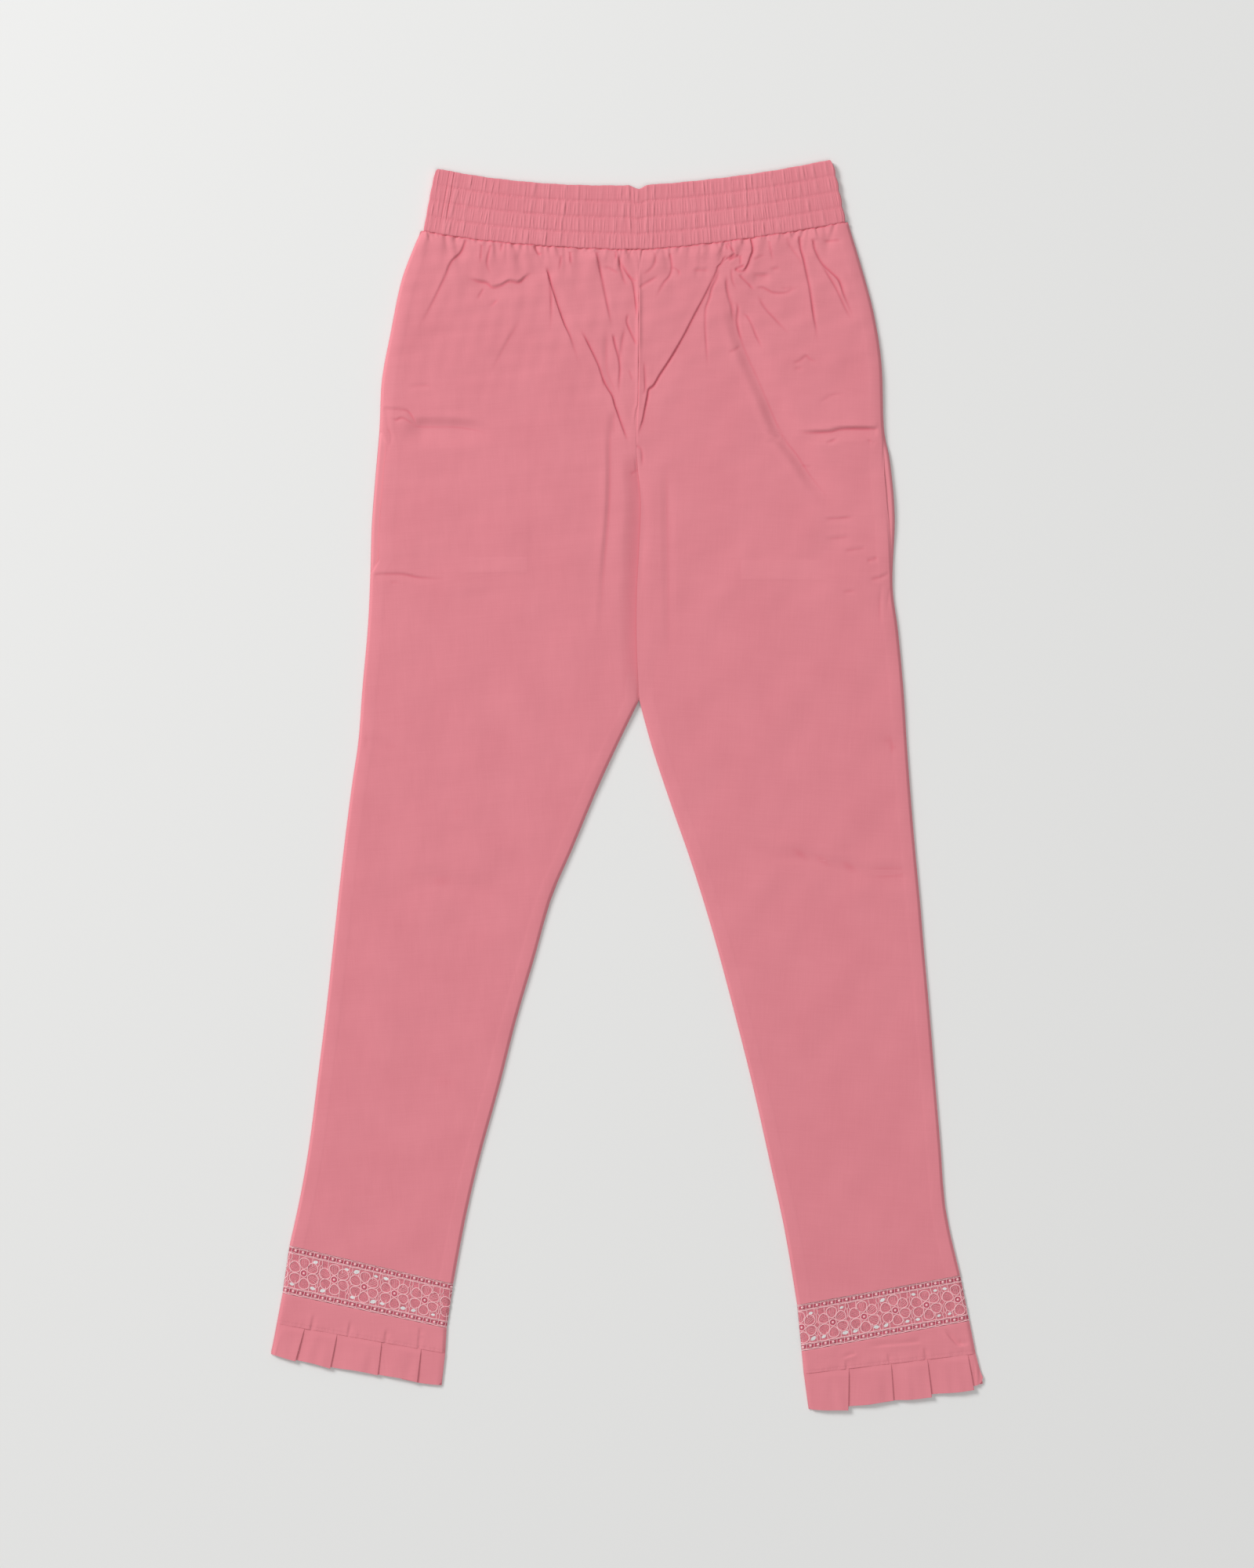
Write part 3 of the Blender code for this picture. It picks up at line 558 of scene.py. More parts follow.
# Creases of the front, from the waist down
CREASES = (
    *creases("right", (
        (0.0014, 0.0080, 0.00064, 0.04, 0.7, ((-0.1243, 0.4232), (-0.1283, 0.4122), (-0.1362, 0.4037),
         (-0.1420, 0.3903), (-0.1553, 0.3636), (-0.1657, 0.3466))),
        (0.0012, 0.0026, 0.00041, 0.04, 0.5, ((-0.1125, 0.4177), (-0.1140, 0.4007))),
        (0.0012, 0.0028, 0.00046, 0.04, 0.5, ((-0.1055, 0.4177), (-0.1085, 0.4031), (-0.1046, 0.3928))),
        (0.0012, 0.0022, 0.00035, 0.04, 0.5, ((-0.0967, 0.4189), (-0.0982, 0.4110))),
        (0.0012, 0.0024, 0.00052, 0.04, 0.3, ((-0.0720, 0.4165), (-0.0684, 0.4104), (-0.0650, 0.4122))),
        (0.0012, 0.0028, 0.00052, 0.04, 0.4, ((-0.0441, 0.4122), (-0.0435, 0.4007))),
        (0.0012, 0.0028, 0.00041, 0.1, 0.5, ((-0.0508, 0.4098), (-0.0526, 0.3964))),
        # Undersides of the bulges below the gathers
        (0.0110, 0.0022, 0.00100, 0.2, 0.25, ((-0.1245, 0.3919), (-0.1156, 0.3892), (-0.1087, 0.3877),
         (-0.1041, 0.3843), (-0.0972, 0.3858), (-0.0911, 0.3889), (-0.0835, 0.3881), (-0.0789, 0.3919),
         (-0.0713, 0.3973))),
        # The pair of sharp folds that run from the right of the waist to the crotch
        (0.0014, 0.0080, 0.00093, 0.1, 0.6, ((-0.0617, 0.4019), (-0.0605, 0.3928), (-0.0499, 0.3599),
         (-0.0435, 0.3453), (-0.0356, 0.3201)), 0.0006),
        (0.0013, 0.0026, 0.00046, 0.15, 0.6, ((-0.0611, 0.3995), (-0.0587, 0.3691), (-0.0599, 0.3441))),
        (0.0022, 0.0080, 0.00029, 0.3, 0.5, ((-0.0809, 0.3624), (-0.0933, 0.3411), (-0.1079, 0.3137))),
        (0.0013, 0.0030, 0.00035, 0.3, 0.5, ((-0.1104, 0.3849), (-0.1170, 0.3739))),
        (0.0013, 0.0030, 0.00035, 0.3, 0.5, ((-0.1067, 0.3691), (-0.0982, 0.3764))),
        (0.0040, 0.0130, 0.00075, 0.2, 0.5, ((-0.0125, 0.2937), (-0.0131, 0.2657), (-0.0137, 0.2171),
         (-0.0185, 0.1550), (-0.0204, 0.1015))),
        # The bulge above the pocket mouth
        (0.0080, 0.0020, 0.00046, 0.1, 0.5, ((-0.1894, 0.2912), (-0.1800, 0.2900), (-0.1700, 0.2912))),
        (0.0190, 0.0085, 0.0021, 0.2, 0.5, ((-0.1724, 0.2790), (-0.1634, 0.2769), (-0.1489, 0.2765),
         (-0.1316, 0.2762), (-0.1142, 0.2732), (-0.0980, 0.2680))),
        (0.0034, 0.0016, 0.00058, 0.3, 0.3, ((-0.1778, 0.2885), (-0.1705, 0.2890), (-0.1657, 0.2833),
         (-0.1634, 0.2769))),
        (0.0030, 0.0014, 0.00046, 0.3, 0.3, ((-0.1836, 0.2856), (-0.1792, 0.2819), (-0.1735, 0.2833),
         (-0.1640, 0.2775))),
        (0.0014, 0.0030, 0.00035, 0.3, 0.4, ((-0.1865, 0.2769), (-0.1830, 0.2703), (-0.1842, 0.2602))),
        (0.0040, 0.0030, 0.00038, 0.3, 0.5, ((-0.1712, 0.3070), (-0.1541, 0.3083), (-0.1487, 0.3016))),
        # The line at the bottom of the pocket
        (0.0060, 0.0014, 0.00046, 0.05, 0.5, ((-0.1967, 0.1623), (-0.1754, 0.1626), (-0.1605, 0.1599),
         (-0.1371, 0.1587))),
        (0.0030, 0.0014, 0.00017, 0.3, 0.4, ((-0.1839, 0.1563), (-0.1760, 0.1563))),
        (0.0022, 0.0022, 0.00023, 0.3, 0.5, ((-0.1870, 0.2960), (-0.1850, 0.2700), (-0.1870, 0.2450))),
        # The right leg below the fork
        (0.0110, 0.0050, 0.0005, 0.1, 0.6, ((-0.2040, 0.0340), (-0.1900, 0.0310), (-0.1736, 0.0280))),
        (0.0080, 0.0050, 0.0004, 0.3, 0.5, ((-0.1432, -0.0182), (-0.1237, -0.0243))),
        (0.0180, 0.0100, 0.0010, 0.3, 0.3, ((-0.1754, -0.0669), (-0.1401, -0.0760), (-0.0915, -0.0821))),
        (0.0080, 0.0040, 0.00022, 0.3, 0.5, ((-0.1888, -0.2195), (-0.1675, -0.2231))),
        (0.0080, 0.0040, 0.00022, 0.3, 0.5, ((-0.1553, -0.2274), (-0.1249, -0.2341))),
    )),
    *creases("left", (
        (0.0120, 0.0200, -0.0007, 0.4, 0.5, ((0.0300, 0.3950), (0.0220, 0.3700), (0.0170, 0.3350))),
    )),
    *creases("right", (
        # Beside the centre seam
        (0.0012, 0.0042, 0.00058, 0.03, 0.4, ((-0.0238, 0.4126), (-0.0211, 0.3995), (-0.0190, 0.3891),
         (-0.0172, 0.3804), (-0.0151, 0.3700), (-0.0129, 0.3596), (-0.0114, 0.3509))),
        (0.0011, 0.0034, 0.00058, 0.08, 0.6, ((-0.0111, 0.3492), (-0.0094, 0.3405), (-0.0075, 0.3340),
         (-0.0062, 0.3283), (-0.0055, 0.3214), (-0.0062, 0.3092), (-0.0066, 0.2953))),
        (0.0012, 0.0020, 0.00046, 0.05, 0.6, ((-0.0088, 0.4126), (-0.0085, 0.4091), (-0.0090, 0.4039))),
        (0.0016, 0.0040, 0.00058, 0.1, 0.3, ((-0.0068, 0.4095), (-0.0055, 0.4030), (-0.0040, 0.3965),
         (-0.0023, 0.3900), (0.0007, 0.3848))),
        (0.0011, 0.0026, 0.00052, 0.15, 0.3, ((-0.0051, 0.4048), (-0.0020, 0.3987), (0.0010, 0.3939),
         (0.0039, 0.3896), (0.0051, 0.3856), (0.0059, 0.3804), (0.0068, 0.3726), (0.0073, 0.3648),
         (0.0066, 0.3570))),
        (0.0012, 0.0024, 0.00035, 0.2, 0.2, ((0.0006, 0.3943), (0.0047, 0.3907), (0.0077, 0.3888))),
        (0.0011, 0.0024, 0.00052, 0.15, 0.2, ((0.0012, 0.3648), (0.0001, 0.3609), (-0.0001, 0.3570),
         (0.0023, 0.3509), (0.0049, 0.3453), (0.0079, 0.3387))),
        (0.0018, 0.0050, 0.00041, 0.3, 0.4, ((-0.0012, 0.3561), (-0.0033, 0.3448), (-0.0050, 0.3335),
         (-0.0052, 0.3231))),
        (0.0014, 0.0030, 0.00029, 0.3, 0.4, ((0.0014, 0.3214), (0.0049, 0.3109))),
        (0.0050, 0.0020, 0.00046, 0.3, 0.2, ((-0.0190, 0.3990), (-0.0140, 0.3994), (-0.0062, 0.3950))),
        (0.0040, 0.0060, 0.0006, 0.3, 0.3, ((-0.0166, 0.3570), (-0.0158, 0.3457), (-0.0159, 0.3231),
         (-0.0132, 0.3136), (-0.0097, 0.3053), (-0.0068, 0.2949))),
        (0.0040, 0.0080, 0.00052, 0.4, 0.5, ((-0.0097, 0.2918), (-0.0102, 0.2797), (-0.0099, 0.2675))),
        (0.0012, 0.0070, 0.00075, 0.15, 0.12, ((-0.0363, 0.3535), (-0.0316, 0.3440), (-0.0264, 0.3335),
         (-0.0220, 0.3240), (-0.0188, 0.3144), (-0.0151, 0.3066), (-0.0114, 0.3004), (-0.0095, 0.2936),
         (-0.0070, 0.2866), (-0.0045, 0.2792), (-0.0010, 0.2697), (0.0014, 0.2640)), 0.0003),
        (0.0012, 0.0020, 0.00035, 0.3, 0.4, ((-0.0198, 0.3153), (-0.0180, 0.3101), (-0.0163, 0.3062))),
        (0.0026, 0.0008, -0.00052, 0.12, 0.25, CENTRE_SEAM),
    )),
    *creases("left", (
        (0.0008, 0.0044, -0.00052, 0.35, 0.25, CENTRE_SEAM),
        (0.0012, 0.0040, 0.00041, 0.3, 0.2, ((0.0132, 0.3283), (0.0138, 0.3162), (0.0139, 0.3057),
         (0.0119, 0.3005))),
        (0.0016, 0.0030, 0.00046, 0.3, 0.1, ((0.0251, 0.3942), (0.0197, 0.3907), (0.0138, 0.3873),
         (0.0091, 0.3837))),
        (0.0014, 0.0030, 0.00035, 0.05, 0.3, ((0.0216, 0.4117), (0.0217, 0.4048), (0.0190, 0.3995),
         (0.0146, 0.3959), (0.0108, 0.3955))),
        (0.0011, 0.0028, 0.00046, 0.05, 0.5, ((0.0332, 0.4117), (0.0346, 0.4004), (0.0329, 0.3935),
         (0.0285, 0.3881), (0.0242, 0.3804), (0.0209, 0.3735))),
        (0.0030, 0.0014, 0.00029, 0.2, 0.5, ((0.0346, 0.4004), (0.0381, 0.3985), (0.0407, 0.3959),
         (0.0416, 0.3933))),
        # The long flap on the wearer's left, lying over the cloth at its +X side
        (0.0011, 0.0150, 0.00062, 0.03, 0.1, ((0.0783, 0.4078), (0.0767, 0.4086), (0.0749, 0.4068),
         (0.0728, 0.4028), (0.0702, 0.4002), (0.0692, 0.3965), (0.0640, 0.3855), (0.0588, 0.3752),
         (0.0535, 0.3655), (0.0483, 0.3554), (0.0435, 0.3462), (0.0363, 0.3337), (0.0313, 0.3257),
         (0.0256, 0.3170), (0.0207, 0.3087), (0.0169, 0.3054), (0.0159, 0.3005), (0.0140, 0.2910),
         (0.0123, 0.2823), (0.0099, 0.2740), (0.0080, 0.2680)), 0.0002),
        (0.0011, 0.0022, 0.00041, 0.1, 0.4, ((0.0723, 0.3995), (0.0692, 0.3909), (0.0657, 0.3837),
         (0.0640, 0.3768), (0.0614, 0.3698), (0.0606, 0.3648), (0.0605, 0.3526), (0.0614, 0.3387),
         (0.0629, 0.3162))),
        (0.0014, 0.0030, 0.00040, 0.3, 0.2, ((0.0435, 0.3462), (0.0363, 0.3337), (0.0313, 0.3257),
         (0.0256, 0.3170), (0.0207, 0.3087), (0.0169, 0.3054), (0.0159, 0.3005), (0.0140, 0.2910),
         (0.0123, 0.2823))),
        # The crumple where the flap meets the waist
        (0.0030, 0.0012, 0.00081, 0.1, 0.15, ((0.0772, 0.4077), (0.0786, 0.4072), (0.0815, 0.4091),
         (0.0841, 0.4108))),
        (0.0026, 0.0011, 0.00058, 0.2, 0.2, ((0.0784, 0.4054), (0.0831, 0.4077), (0.0872, 0.4098))),
        (0.0011, 0.0018, 0.00046, 0.2, 0.4, ((0.0874, 0.4101), (0.0879, 0.4048), (0.0874, 0.4004))),
        (0.0011, 0.0018, 0.00046, 0.1, 0.2, ((0.0783, 0.4191), (0.0806, 0.4152), (0.0833, 0.4110))),
        (0.0011, 0.0018, 0.00035, 0.1, 0.4, ((0.0768, 0.4187), (0.0783, 0.4126))),
        (0.0012, 0.0050, 0.00087, 0.03, 0.2, ((0.0957, 0.4230), (0.0970, 0.4173), (0.0971, 0.4126),
         (0.0954, 0.4074), (0.0935, 0.4021), (0.0907, 0.3978), (0.0867, 0.3955)), 0.0003),
        (0.0026, 0.0011, 0.00058, 0.2, 0.2, ((0.0831, 0.3973), (0.0859, 0.3994), (0.0911, 0.4017))),
        (0.0020, 0.0011, 0.00041, 0.3, 0.3, ((0.0835, 0.3991), (0.0866, 0.3969), (0.0892, 0.3985))),
        (0.0012, 0.0024, 0.00035, 0.2, 0.4, ((0.0818, 0.4006), (0.0809, 0.3959), (0.0819, 0.3883),
         (0.0857, 0.3820))),
        (0.0018, 0.0050, 0.00064, 0.2, 0.4, ((0.0775, 0.3961), (0.0771, 0.3865), (0.0788, 0.3770),
         (0.0810, 0.3698), (0.0819, 0.3613), (0.0841, 0.3542))),
        (0.0013, 0.0034, 0.00052, 0.1, 0.3, ((0.0866, 0.3945), (0.0902, 0.3907), (0.0945, 0.3865),
         (0.0989, 0.3815))),
        (0.0014, 0.0050, 0.00046, 0.2, 0.5, ((0.1005, 0.3791), (0.1048, 0.3717), (0.1091, 0.3657),
         (0.1143, 0.3603), (0.1197, 0.3544), (0.1241, 0.3500), (0.1287, 0.3461))),
        (0.0040, 0.0014, 0.00046, 0.15, 0.4, ((0.0987, 0.3833), (0.1048, 0.3844), (0.1093, 0.3822),
         (0.1137, 0.3803), (0.1222, 0.3803), (0.1284, 0.3829), (0.1339, 0.3855))),
        (0.0013, 0.0030, 0.00052, 0.2, 0.4, ((0.0831, 0.3737), (0.0858, 0.3691), (0.0853, 0.3579),
         (0.0876, 0.3474), (0.0911, 0.3405))),
        (0.0012, 0.0026, 0.00041, 0.2, 0.4, ((0.0883, 0.3648), (0.0928, 0.3622), (0.0963, 0.3561),
         (0.0998, 0.3474), (0.1039, 0.3387), (0.1055, 0.3342))),
        (0.0012, 0.0022, 0.00035, 0.05, 0.4, ((0.1100, 0.4208), (0.1114, 0.4126), (0.1131, 0.4039))),
        (0.0020, 0.0040, 0.00041, 0.05, 0.4, ((0.1241, 0.4237), (0.1256, 0.4178), (0.1293, 0.4124),
         (0.1336, 0.4063), (0.1362, 0.3995))),
        (0.0011, 0.0034, 0.00064, 0.03, 0.35, ((0.1333, 0.4252), (0.1343, 0.4152), (0.1369, 0.4054),
         (0.1387, 0.3968), (0.1413, 0.3846), (0.1430, 0.3733), (0.1447, 0.3612), (0.1465, 0.3516),
         (0.1470, 0.3400))),
        (0.0090, 0.0030, 0.00068, 0.3, 0.3, ((0.0970, 0.3942), (0.1039, 0.3936), (0.1117, 0.3942))),
        (0.0050, 0.0022, 0.00046, 0.3, 0.3, ((0.1110, 0.3991), (0.1148, 0.3991), (0.1185, 0.4006))),
        (0.0030, 0.0014, 0.00029, 0.3, 0.4, ((0.0970, 0.4051), (0.1022, 0.4081), (0.1076, 0.4100))),
        (0.0040, 0.0016, 0.00029, 0.3, 0.3, ((0.0779, 0.3339), (0.0831, 0.3360), (0.0885, 0.3398))),
        (0.0040, 0.0014, 0.00035, 0.2, 0.3, ((0.1278, 0.3259), (0.1335, 0.3278), (0.1387, 0.3314),
         (0.1421, 0.3287), (0.1484, 0.3264))),
        (0.0040, 0.0020, 0.00029, 0.3, 0.3, ((0.1291, 0.3217), (0.1361, 0.3221))),
        (0.0040, 0.0020, 0.00023, 0.3, 0.3, ((0.1196, 0.3855), (0.1230, 0.3836), (0.1300, 0.3850))),
        # The broad trough from the crumple to the left pocket
        (0.0090, 0.0200, 0.0024, 0.3, 0.25, ((0.0793, 0.3922), (0.0821, 0.3697), (0.0891, 0.3417),
         (0.1031, 0.3095), (0.1195, 0.2718), (0.1322, 0.2541), (0.1420, 0.2389), (0.1560, 0.2201),
         (0.1605, 0.2061))),
        (0.0012, 0.0050, 0.00066, 0.04, 0.4, ((0.1440, 0.4230), (0.1454, 0.4140), (0.1507, 0.4035),
         (0.1576, 0.3966), (0.1642, 0.3897), (0.1679, 0.3789), (0.1723, 0.3686), (0.1764, 0.3571))),
        (0.0012, 0.0036, 0.00046, 0.2, 0.35, ((0.1486, 0.4040), (0.1523, 0.3996), (0.1580, 0.3904),
         (0.1626, 0.3824), (0.1684, 0.3697), (0.1753, 0.3567))),
        (0.0030, 0.0014, 0.00041, 0.2, 0.5, ((0.1517, 0.4201), (0.1687, 0.4213))),
        (0.0040, 0.0020, 0.00029, 0.3, 0.5, ((0.1474, 0.2943), (0.1602, 0.3016), (0.1742, 0.3022))),
        (0.0016, 0.0016, 0.00029, 0.3, 0.4, ((0.0402, 0.3988), (0.0402, 0.3922))),
        (0.0080, 0.0030, 0.00068, 0.3, 0.3, ((0.0502, 0.3976), (0.0641, 0.3976))),
        # The left pocket
        (0.0110, 0.0024, 0.00135, 0.35, 0.06, ((0.1304, 0.2718), (0.1560, 0.2724), (0.1675, 0.2748),
         (0.1955, 0.2748))),
        (0.0040, 0.0016, 0.00041, 0.3, 0.4, ((0.1535, 0.2639), (0.1639, 0.2675))),
        (0.0040, 0.0016, 0.00035, 0.3, 0.2, ((0.1851, 0.2669), (0.1930, 0.2639))),
        (0.0040, 0.0016, 0.00029, 0.3, 0.4, ((0.1338, 0.2468), (0.1444, 0.2456))),
        (0.0050, 0.0016, 0.00041, 0.3, 0.3, ((0.1511, 0.2049), (0.1772, 0.2067))),
        (0.0070, 0.0030, 0.00045, 0.3, 0.3, ((0.1523, 0.1891), (0.1754, 0.1915))),
        (0.0050, 0.0020, 0.00041, 0.3, 0.3, ((0.1663, 0.1800), (0.1864, 0.1830))),
        (0.0040, 0.0018, 0.00046, 0.3, 0.2, ((0.1851, 0.1727), (0.1943, 0.1751))),
        (0.0040, 0.0016, 0.00052, 0.3, 0.1, ((0.1873, 0.1587), (0.1955, 0.1599), (0.2034, 0.1639))),
        (0.0040, 0.0020, 0.00029, 0.3, 0.4, ((0.1663, 0.1484), (0.1791, 0.1502))),
        (0.0018, 0.0030, 0.00029, 0.1, 0.5, ((0.1967, 0.1550), (0.1949, 0.1216))),
        (0.0018, 0.0030, 0.00029, 0.1, 0.5, ((0.2040, 0.1526), (0.2003, 0.1319))),
        # Beside the overlap of the legs
        (0.0016, 0.0030, 0.00041, 0.1, 0.4, ((0.0060, 0.2620), (0.0112, 0.2584), (0.0119, 0.2438))),
    )),
    *creases("right", (
        (0.0030, 0.0014, 0.00035, 0.3, 0.2, ((0.0020, 0.2395), (0.0090, 0.2438))),
    )),
    *creases("left", (
        (0.0060, 0.0080, 0.0006, 0.2, 0.5, ((0.0307, 0.2529), (0.0319, 0.1550), (0.0325, 0.0833))),
        (0.0040, 0.0030, 0.00022, 0.2, 0.4, ((0.0301, 0.0049), (0.0435, 0.0024))),
        # The left leg below the fork
        (0.0100, 0.0040, 0.00045, 0.5, 0.06, ((0.1821, 0.0292), (0.2000, 0.0330), (0.2155, 0.0365))),
        (0.0040, 0.0014, 0.00035, 0.3, 0.06, ((0.2016, 0.0280), (0.2168, 0.0304))),
        (0.0140, 0.0050, 0.0011, 0.3, 0.1, ((0.0879, -0.0499), (0.1274, -0.0529), (0.1578, -0.0608),
         (0.1943, -0.0681), (0.2228, -0.0681))),
        (0.0080, 0.0040, 0.00022, 0.3, 0.5, ((0.1061, -0.2219), (0.1274, -0.2201))),
        (0.0080, 0.0040, 0.0003, 0.3, 0.1, ((0.2046, -0.2098), (0.2338, -0.2049))),
    )),
)

# Creases of the back, alike in kind and shallower, because it lies flat on the floor
BACK_CREASES = (
    *creases("right", (
        (0.0060, 0.0020, 0.0005, 0.04, 0.6, ((-0.1180, 0.4180), (-0.1260, 0.3900), (-0.1420, 0.3500))),
        (0.0020, 0.0070, 0.0006, 0.04, 0.5, ((-0.0560, 0.4120), (-0.0420, 0.3600), (-0.0220, 0.3000))),
        (0.0100, 0.0040, 0.0005, 0.3, 0.3, ((-0.1100, 0.3840), (-0.0850, 0.3800), (-0.0620, 0.3900))),
        (0.0020, 0.0060, 0.0005, 0.2, 0.3, ((-0.0200, 0.3500), (-0.0080, 0.3000), (0.0020, 0.2600))),
        (0.0120, 0.0060, 0.0005, 0.2, 0.5, ((-0.1850, 0.2500), (-0.1400, 0.2420), (-0.0900, 0.2500))),
        (0.0110, 0.0080, 0.0004, 0.2, 0.4, ((-0.1900, -0.0600), (-0.1400, -0.0720), (-0.0900, -0.0700))),
        (0.0070, 0.0050, 0.0003, 0.1, 0.5, ((-0.2250, -0.2200), (-0.1800, -0.2290))),
    )),
    *creases("left", (
        (0.0060, 0.0020, 0.0005, 0.04, 0.6, ((0.1290, 0.4200), (0.1350, 0.3900), (0.1480, 0.3500))),
        (0.0070, 0.0020, 0.0006, 0.04, 0.5, ((0.0760, 0.4120), (0.0600, 0.3650), (0.0330, 0.3050))),
        (0.0100, 0.0040, 0.0005, 0.3, 0.3, ((0.0850, 0.3860), (0.1120, 0.3800), (0.1380, 0.3880))),
        (0.0060, 0.0020, 0.0005, 0.2, 0.3, ((0.0360, 0.3560), (0.0220, 0.3060), (0.0110, 0.2660))),
        (0.0120, 0.0060, 0.0005, 0.3, 0.2, ((0.0900, 0.2380), (0.1400, 0.2460), (0.1930, 0.2420))),
        (0.0110, 0.0080, 0.0004, 0.3, 0.2, ((0.0900, -0.0600), (0.1500, -0.0690), (0.2100, -0.0640))),
        (0.0070, 0.0050, 0.0003, 0.3, 0.2, ((0.1500, -0.2150), (0.2100, -0.2080))),
    )),
)

PLEATS = {
    "right": (
        Pleat(0.165, 0.143, 0.0, 0.0015),
        Pleat(0.358, 0.347, 0.0006, 0.0023),
        Pleat(0.623, 0.626, 0.0011, 0.0006),
        Pleat(0.857, 0.857, 0.0001, 0.0006),
    ),
    "left": (
        Pleat(0.262, 0.226, 0.0, 0.0055),
        Pleat(0.507, 0.486, 0.0024, 0.0031),
        Pleat(0.718, 0.705, 0.0029, 0.0047),
        Pleat(0.953, 0.948, 0.0025, 0.0038),
    ),
}
RUFFLE_CORNERS = {"right": (0.0012, 0.0022), "left": (0.0016, 0.0048)}
FLOWERS = {"right": Flowers(0.0142, 0.0240, 6), "left": Flowers(0.0017, 0.0246, 6)}
BACK_LACE_SHIFT = 0.0004

# Creases of the cuffs: along from the -X end, down from the lace, both in metres
CUFF_CREASE = (0.0045, 0.0011, 0.0005, 0.4, 0.1)
CUFF_CREASES = {
    "right": (
        ((0.027, 0.009), (0.0265, 0.0235)), ((0.056, 0.008), (0.0555, 0.0235)),
        ((0.0845, 0.009), (0.084, 0.0235)), ((0.110, 0.008), (0.1105, 0.0235)),
        ((0.1095, 0.004), (0.111, 0.010)),
    ),
    "left": (
        ((0.1110, 0.0006), (0.1122, 0.0023), (0.1201, 0.0136), (0.1298, 0.0144)),
        ((0.030, 0.012), (0.042, 0.010)),
        ((0.1122, 0.0023), (0.1160, 0.0080), (0.1201, 0.0136), (0.1250, 0.0146)),
        ((0.0496, 0.0059), (0.094, 0.009)), ((0.0335, 0.013), (0.033, 0.0235)),
        ((0.066, 0.012), (0.0665, 0.0235)), ((0.095, 0.011), (0.094, 0.0235)),
    ),
}

BAND_LENGTH = WAISTBAND[-1].seam_x - WAISTBAND[0].seam_x

COTTON_LIGHT = (0.790, 0.262, 0.305)
COTTON_DARK = (0.690, 0.208, 0.248)
# The colour of painted shade, towards which a negative tint mixes the cotton
COTTON_PAINTED_SHADE = (0.720, 0.125, 0.175)
THREAD = (0.840, 0.330, 0.380)
CORD = (0.970, 0.520, 0.550)
NET = (0.690, 0.195, 0.240)
RAIL_NET = (0.570, 0.098, 0.150)
# Painted light: the near white of the lit floor, seen through the lace's openings
PAINTED_LIT_FLOOR = (0.980, 0.940, 0.930)
FLOOR_COLOUR = (0.82, 0.82, 0.81)

# Scales of the cotton's, thread's and net's textures, in waves or cells to the metre
SLUB_SCALE_WARP = (1500.0, 38.0)
SLUB_SCALE_WEFT = (34.0, 1300.0)
SLUB_SCALE_UP = 60.0
MOTTLE_SCALE = 26.0
WEAVE_SCALE = 640.0
TWIST_SCALE = 900.0
THREAD_SHADE_SCALE = 300.0
NET_SCALE = 1500.0
NET_SHADE_SCALE = 220.0

# What makes up the cotton's tone, among it the tint, which holds prints and painted light and shade, and the
# range of the sum that runs from its dark to its light colour
SLUB_SHARE = 0.27
MOTTLE_SHARE = 0.46
TINT_SHARE = 0.5
TINT_RANGE = (0.17, 0.85)

# The photograph's frame at the garment, and the camera above its middle
VIEW_HEIGHT = 1.216
SENSOR = 36.0
LENS = 85.0

# Lights: place, width and power, and the even light of the surroundings
KEY_LIGHT = ((-3.7, 3.2, 3.3), 2.0, 264.0)
FILL_LIGHT = ((0.9, -1.6, 4.6), 2.6, 46.0)
WORLD_LIGHT = 0.36
FLOOR_HALF = 6.0
FLOOR_LEVEL = -0.0003


def smoothstep(value):
    value = np.clip(value, 0.0, 1.0)
    return value * value * (3 - 2 * value)


def read_table(table, at):
    """The second column of a table at places in its first, eased between rows and level past its ends."""
    at = np.asarray(at, float)
    result = np.full(at.shape, float(table[0][1]))
    for (low, first), (high, second) in zip(table, table[1:]):
        eased = first + (second - first) * smoothstep((at - low) / (high - low))
        result = np.where(at > low, eased, result)
    return result


def on_curve(values, at):
    """Values between the rows of a table, on the smooth curve through all of them."""
    values = np.asarray(values, float)
    at = np.asarray(at, float)
    index = np.clip(at.astype(int), 0, len(values) - 2)
    part = (at - index)[..., None]
    here = values[index]
    there = values[index + 1]
    slope_here = (there - values[np.maximum(index - 1, 0)]) / 2
    slope_there = (values[np.minimum(index + 2, len(values) - 1)] - here) / 2
    square = part * part
    cube = square * part
    return (
        (2 * cube - 3 * square + 1) * here
        + (cube - 2 * square + part) * slope_here
        + (3 * square - 2 * cube) * there
        + (cube - square) * slope_there
    )


def leg_rows(side, at):
    """Rows of a leg's table between its whole rows. The inner edge has a corner where the legs part."""
    rows = np.array(LEG_ROWS[side])
    found = on_curve(rows, at)
    above = on_curve(rows[:FORK_ROW + 1], np.minimum(at, FORK_ROW))
    below = on_curve(rows[FORK_ROW:], np.maximum(at - FORK_ROW, 0))
    found[:, 2:] = np.where(np.asarray(at)[:, None] <= FORK_ROW, above[:, 2:], below[:, 2:])
    return found


def side_sign(side):
    return -1 if side == "right" else 1


def bell(distance, width):
    return np.exp(-(distance / width) ** 2)


def sine_sum(x, rows):
    return sum(height * np.sin(x * rate + phase) for height, rate, phase in rows)


def unit(vectors):
    """Vectors in the same directions, of length 1."""
    return vectors / np.maximum(np.linalg.norm(vectors, axis=-1, keepdims=True), 1e-12)


def between(limits, share):
    return limits[0] + (limits[1] - limits[0]) * share


def left_to_right(side, *grids):
    """Grids with their columns towards +X. The left leg's are made from its side seam, the other way."""
    return [grid[:, ::-1] if side == "left" else grid for grid in grids]


def quarter_round(distance, radius):
    """The rise of a rounded edge: 0 at the edge, and 1 from the radius on."""
    return np.sqrt(1 - (1 - np.clip(distance / radius, 0.0, 1.0)) ** 2)


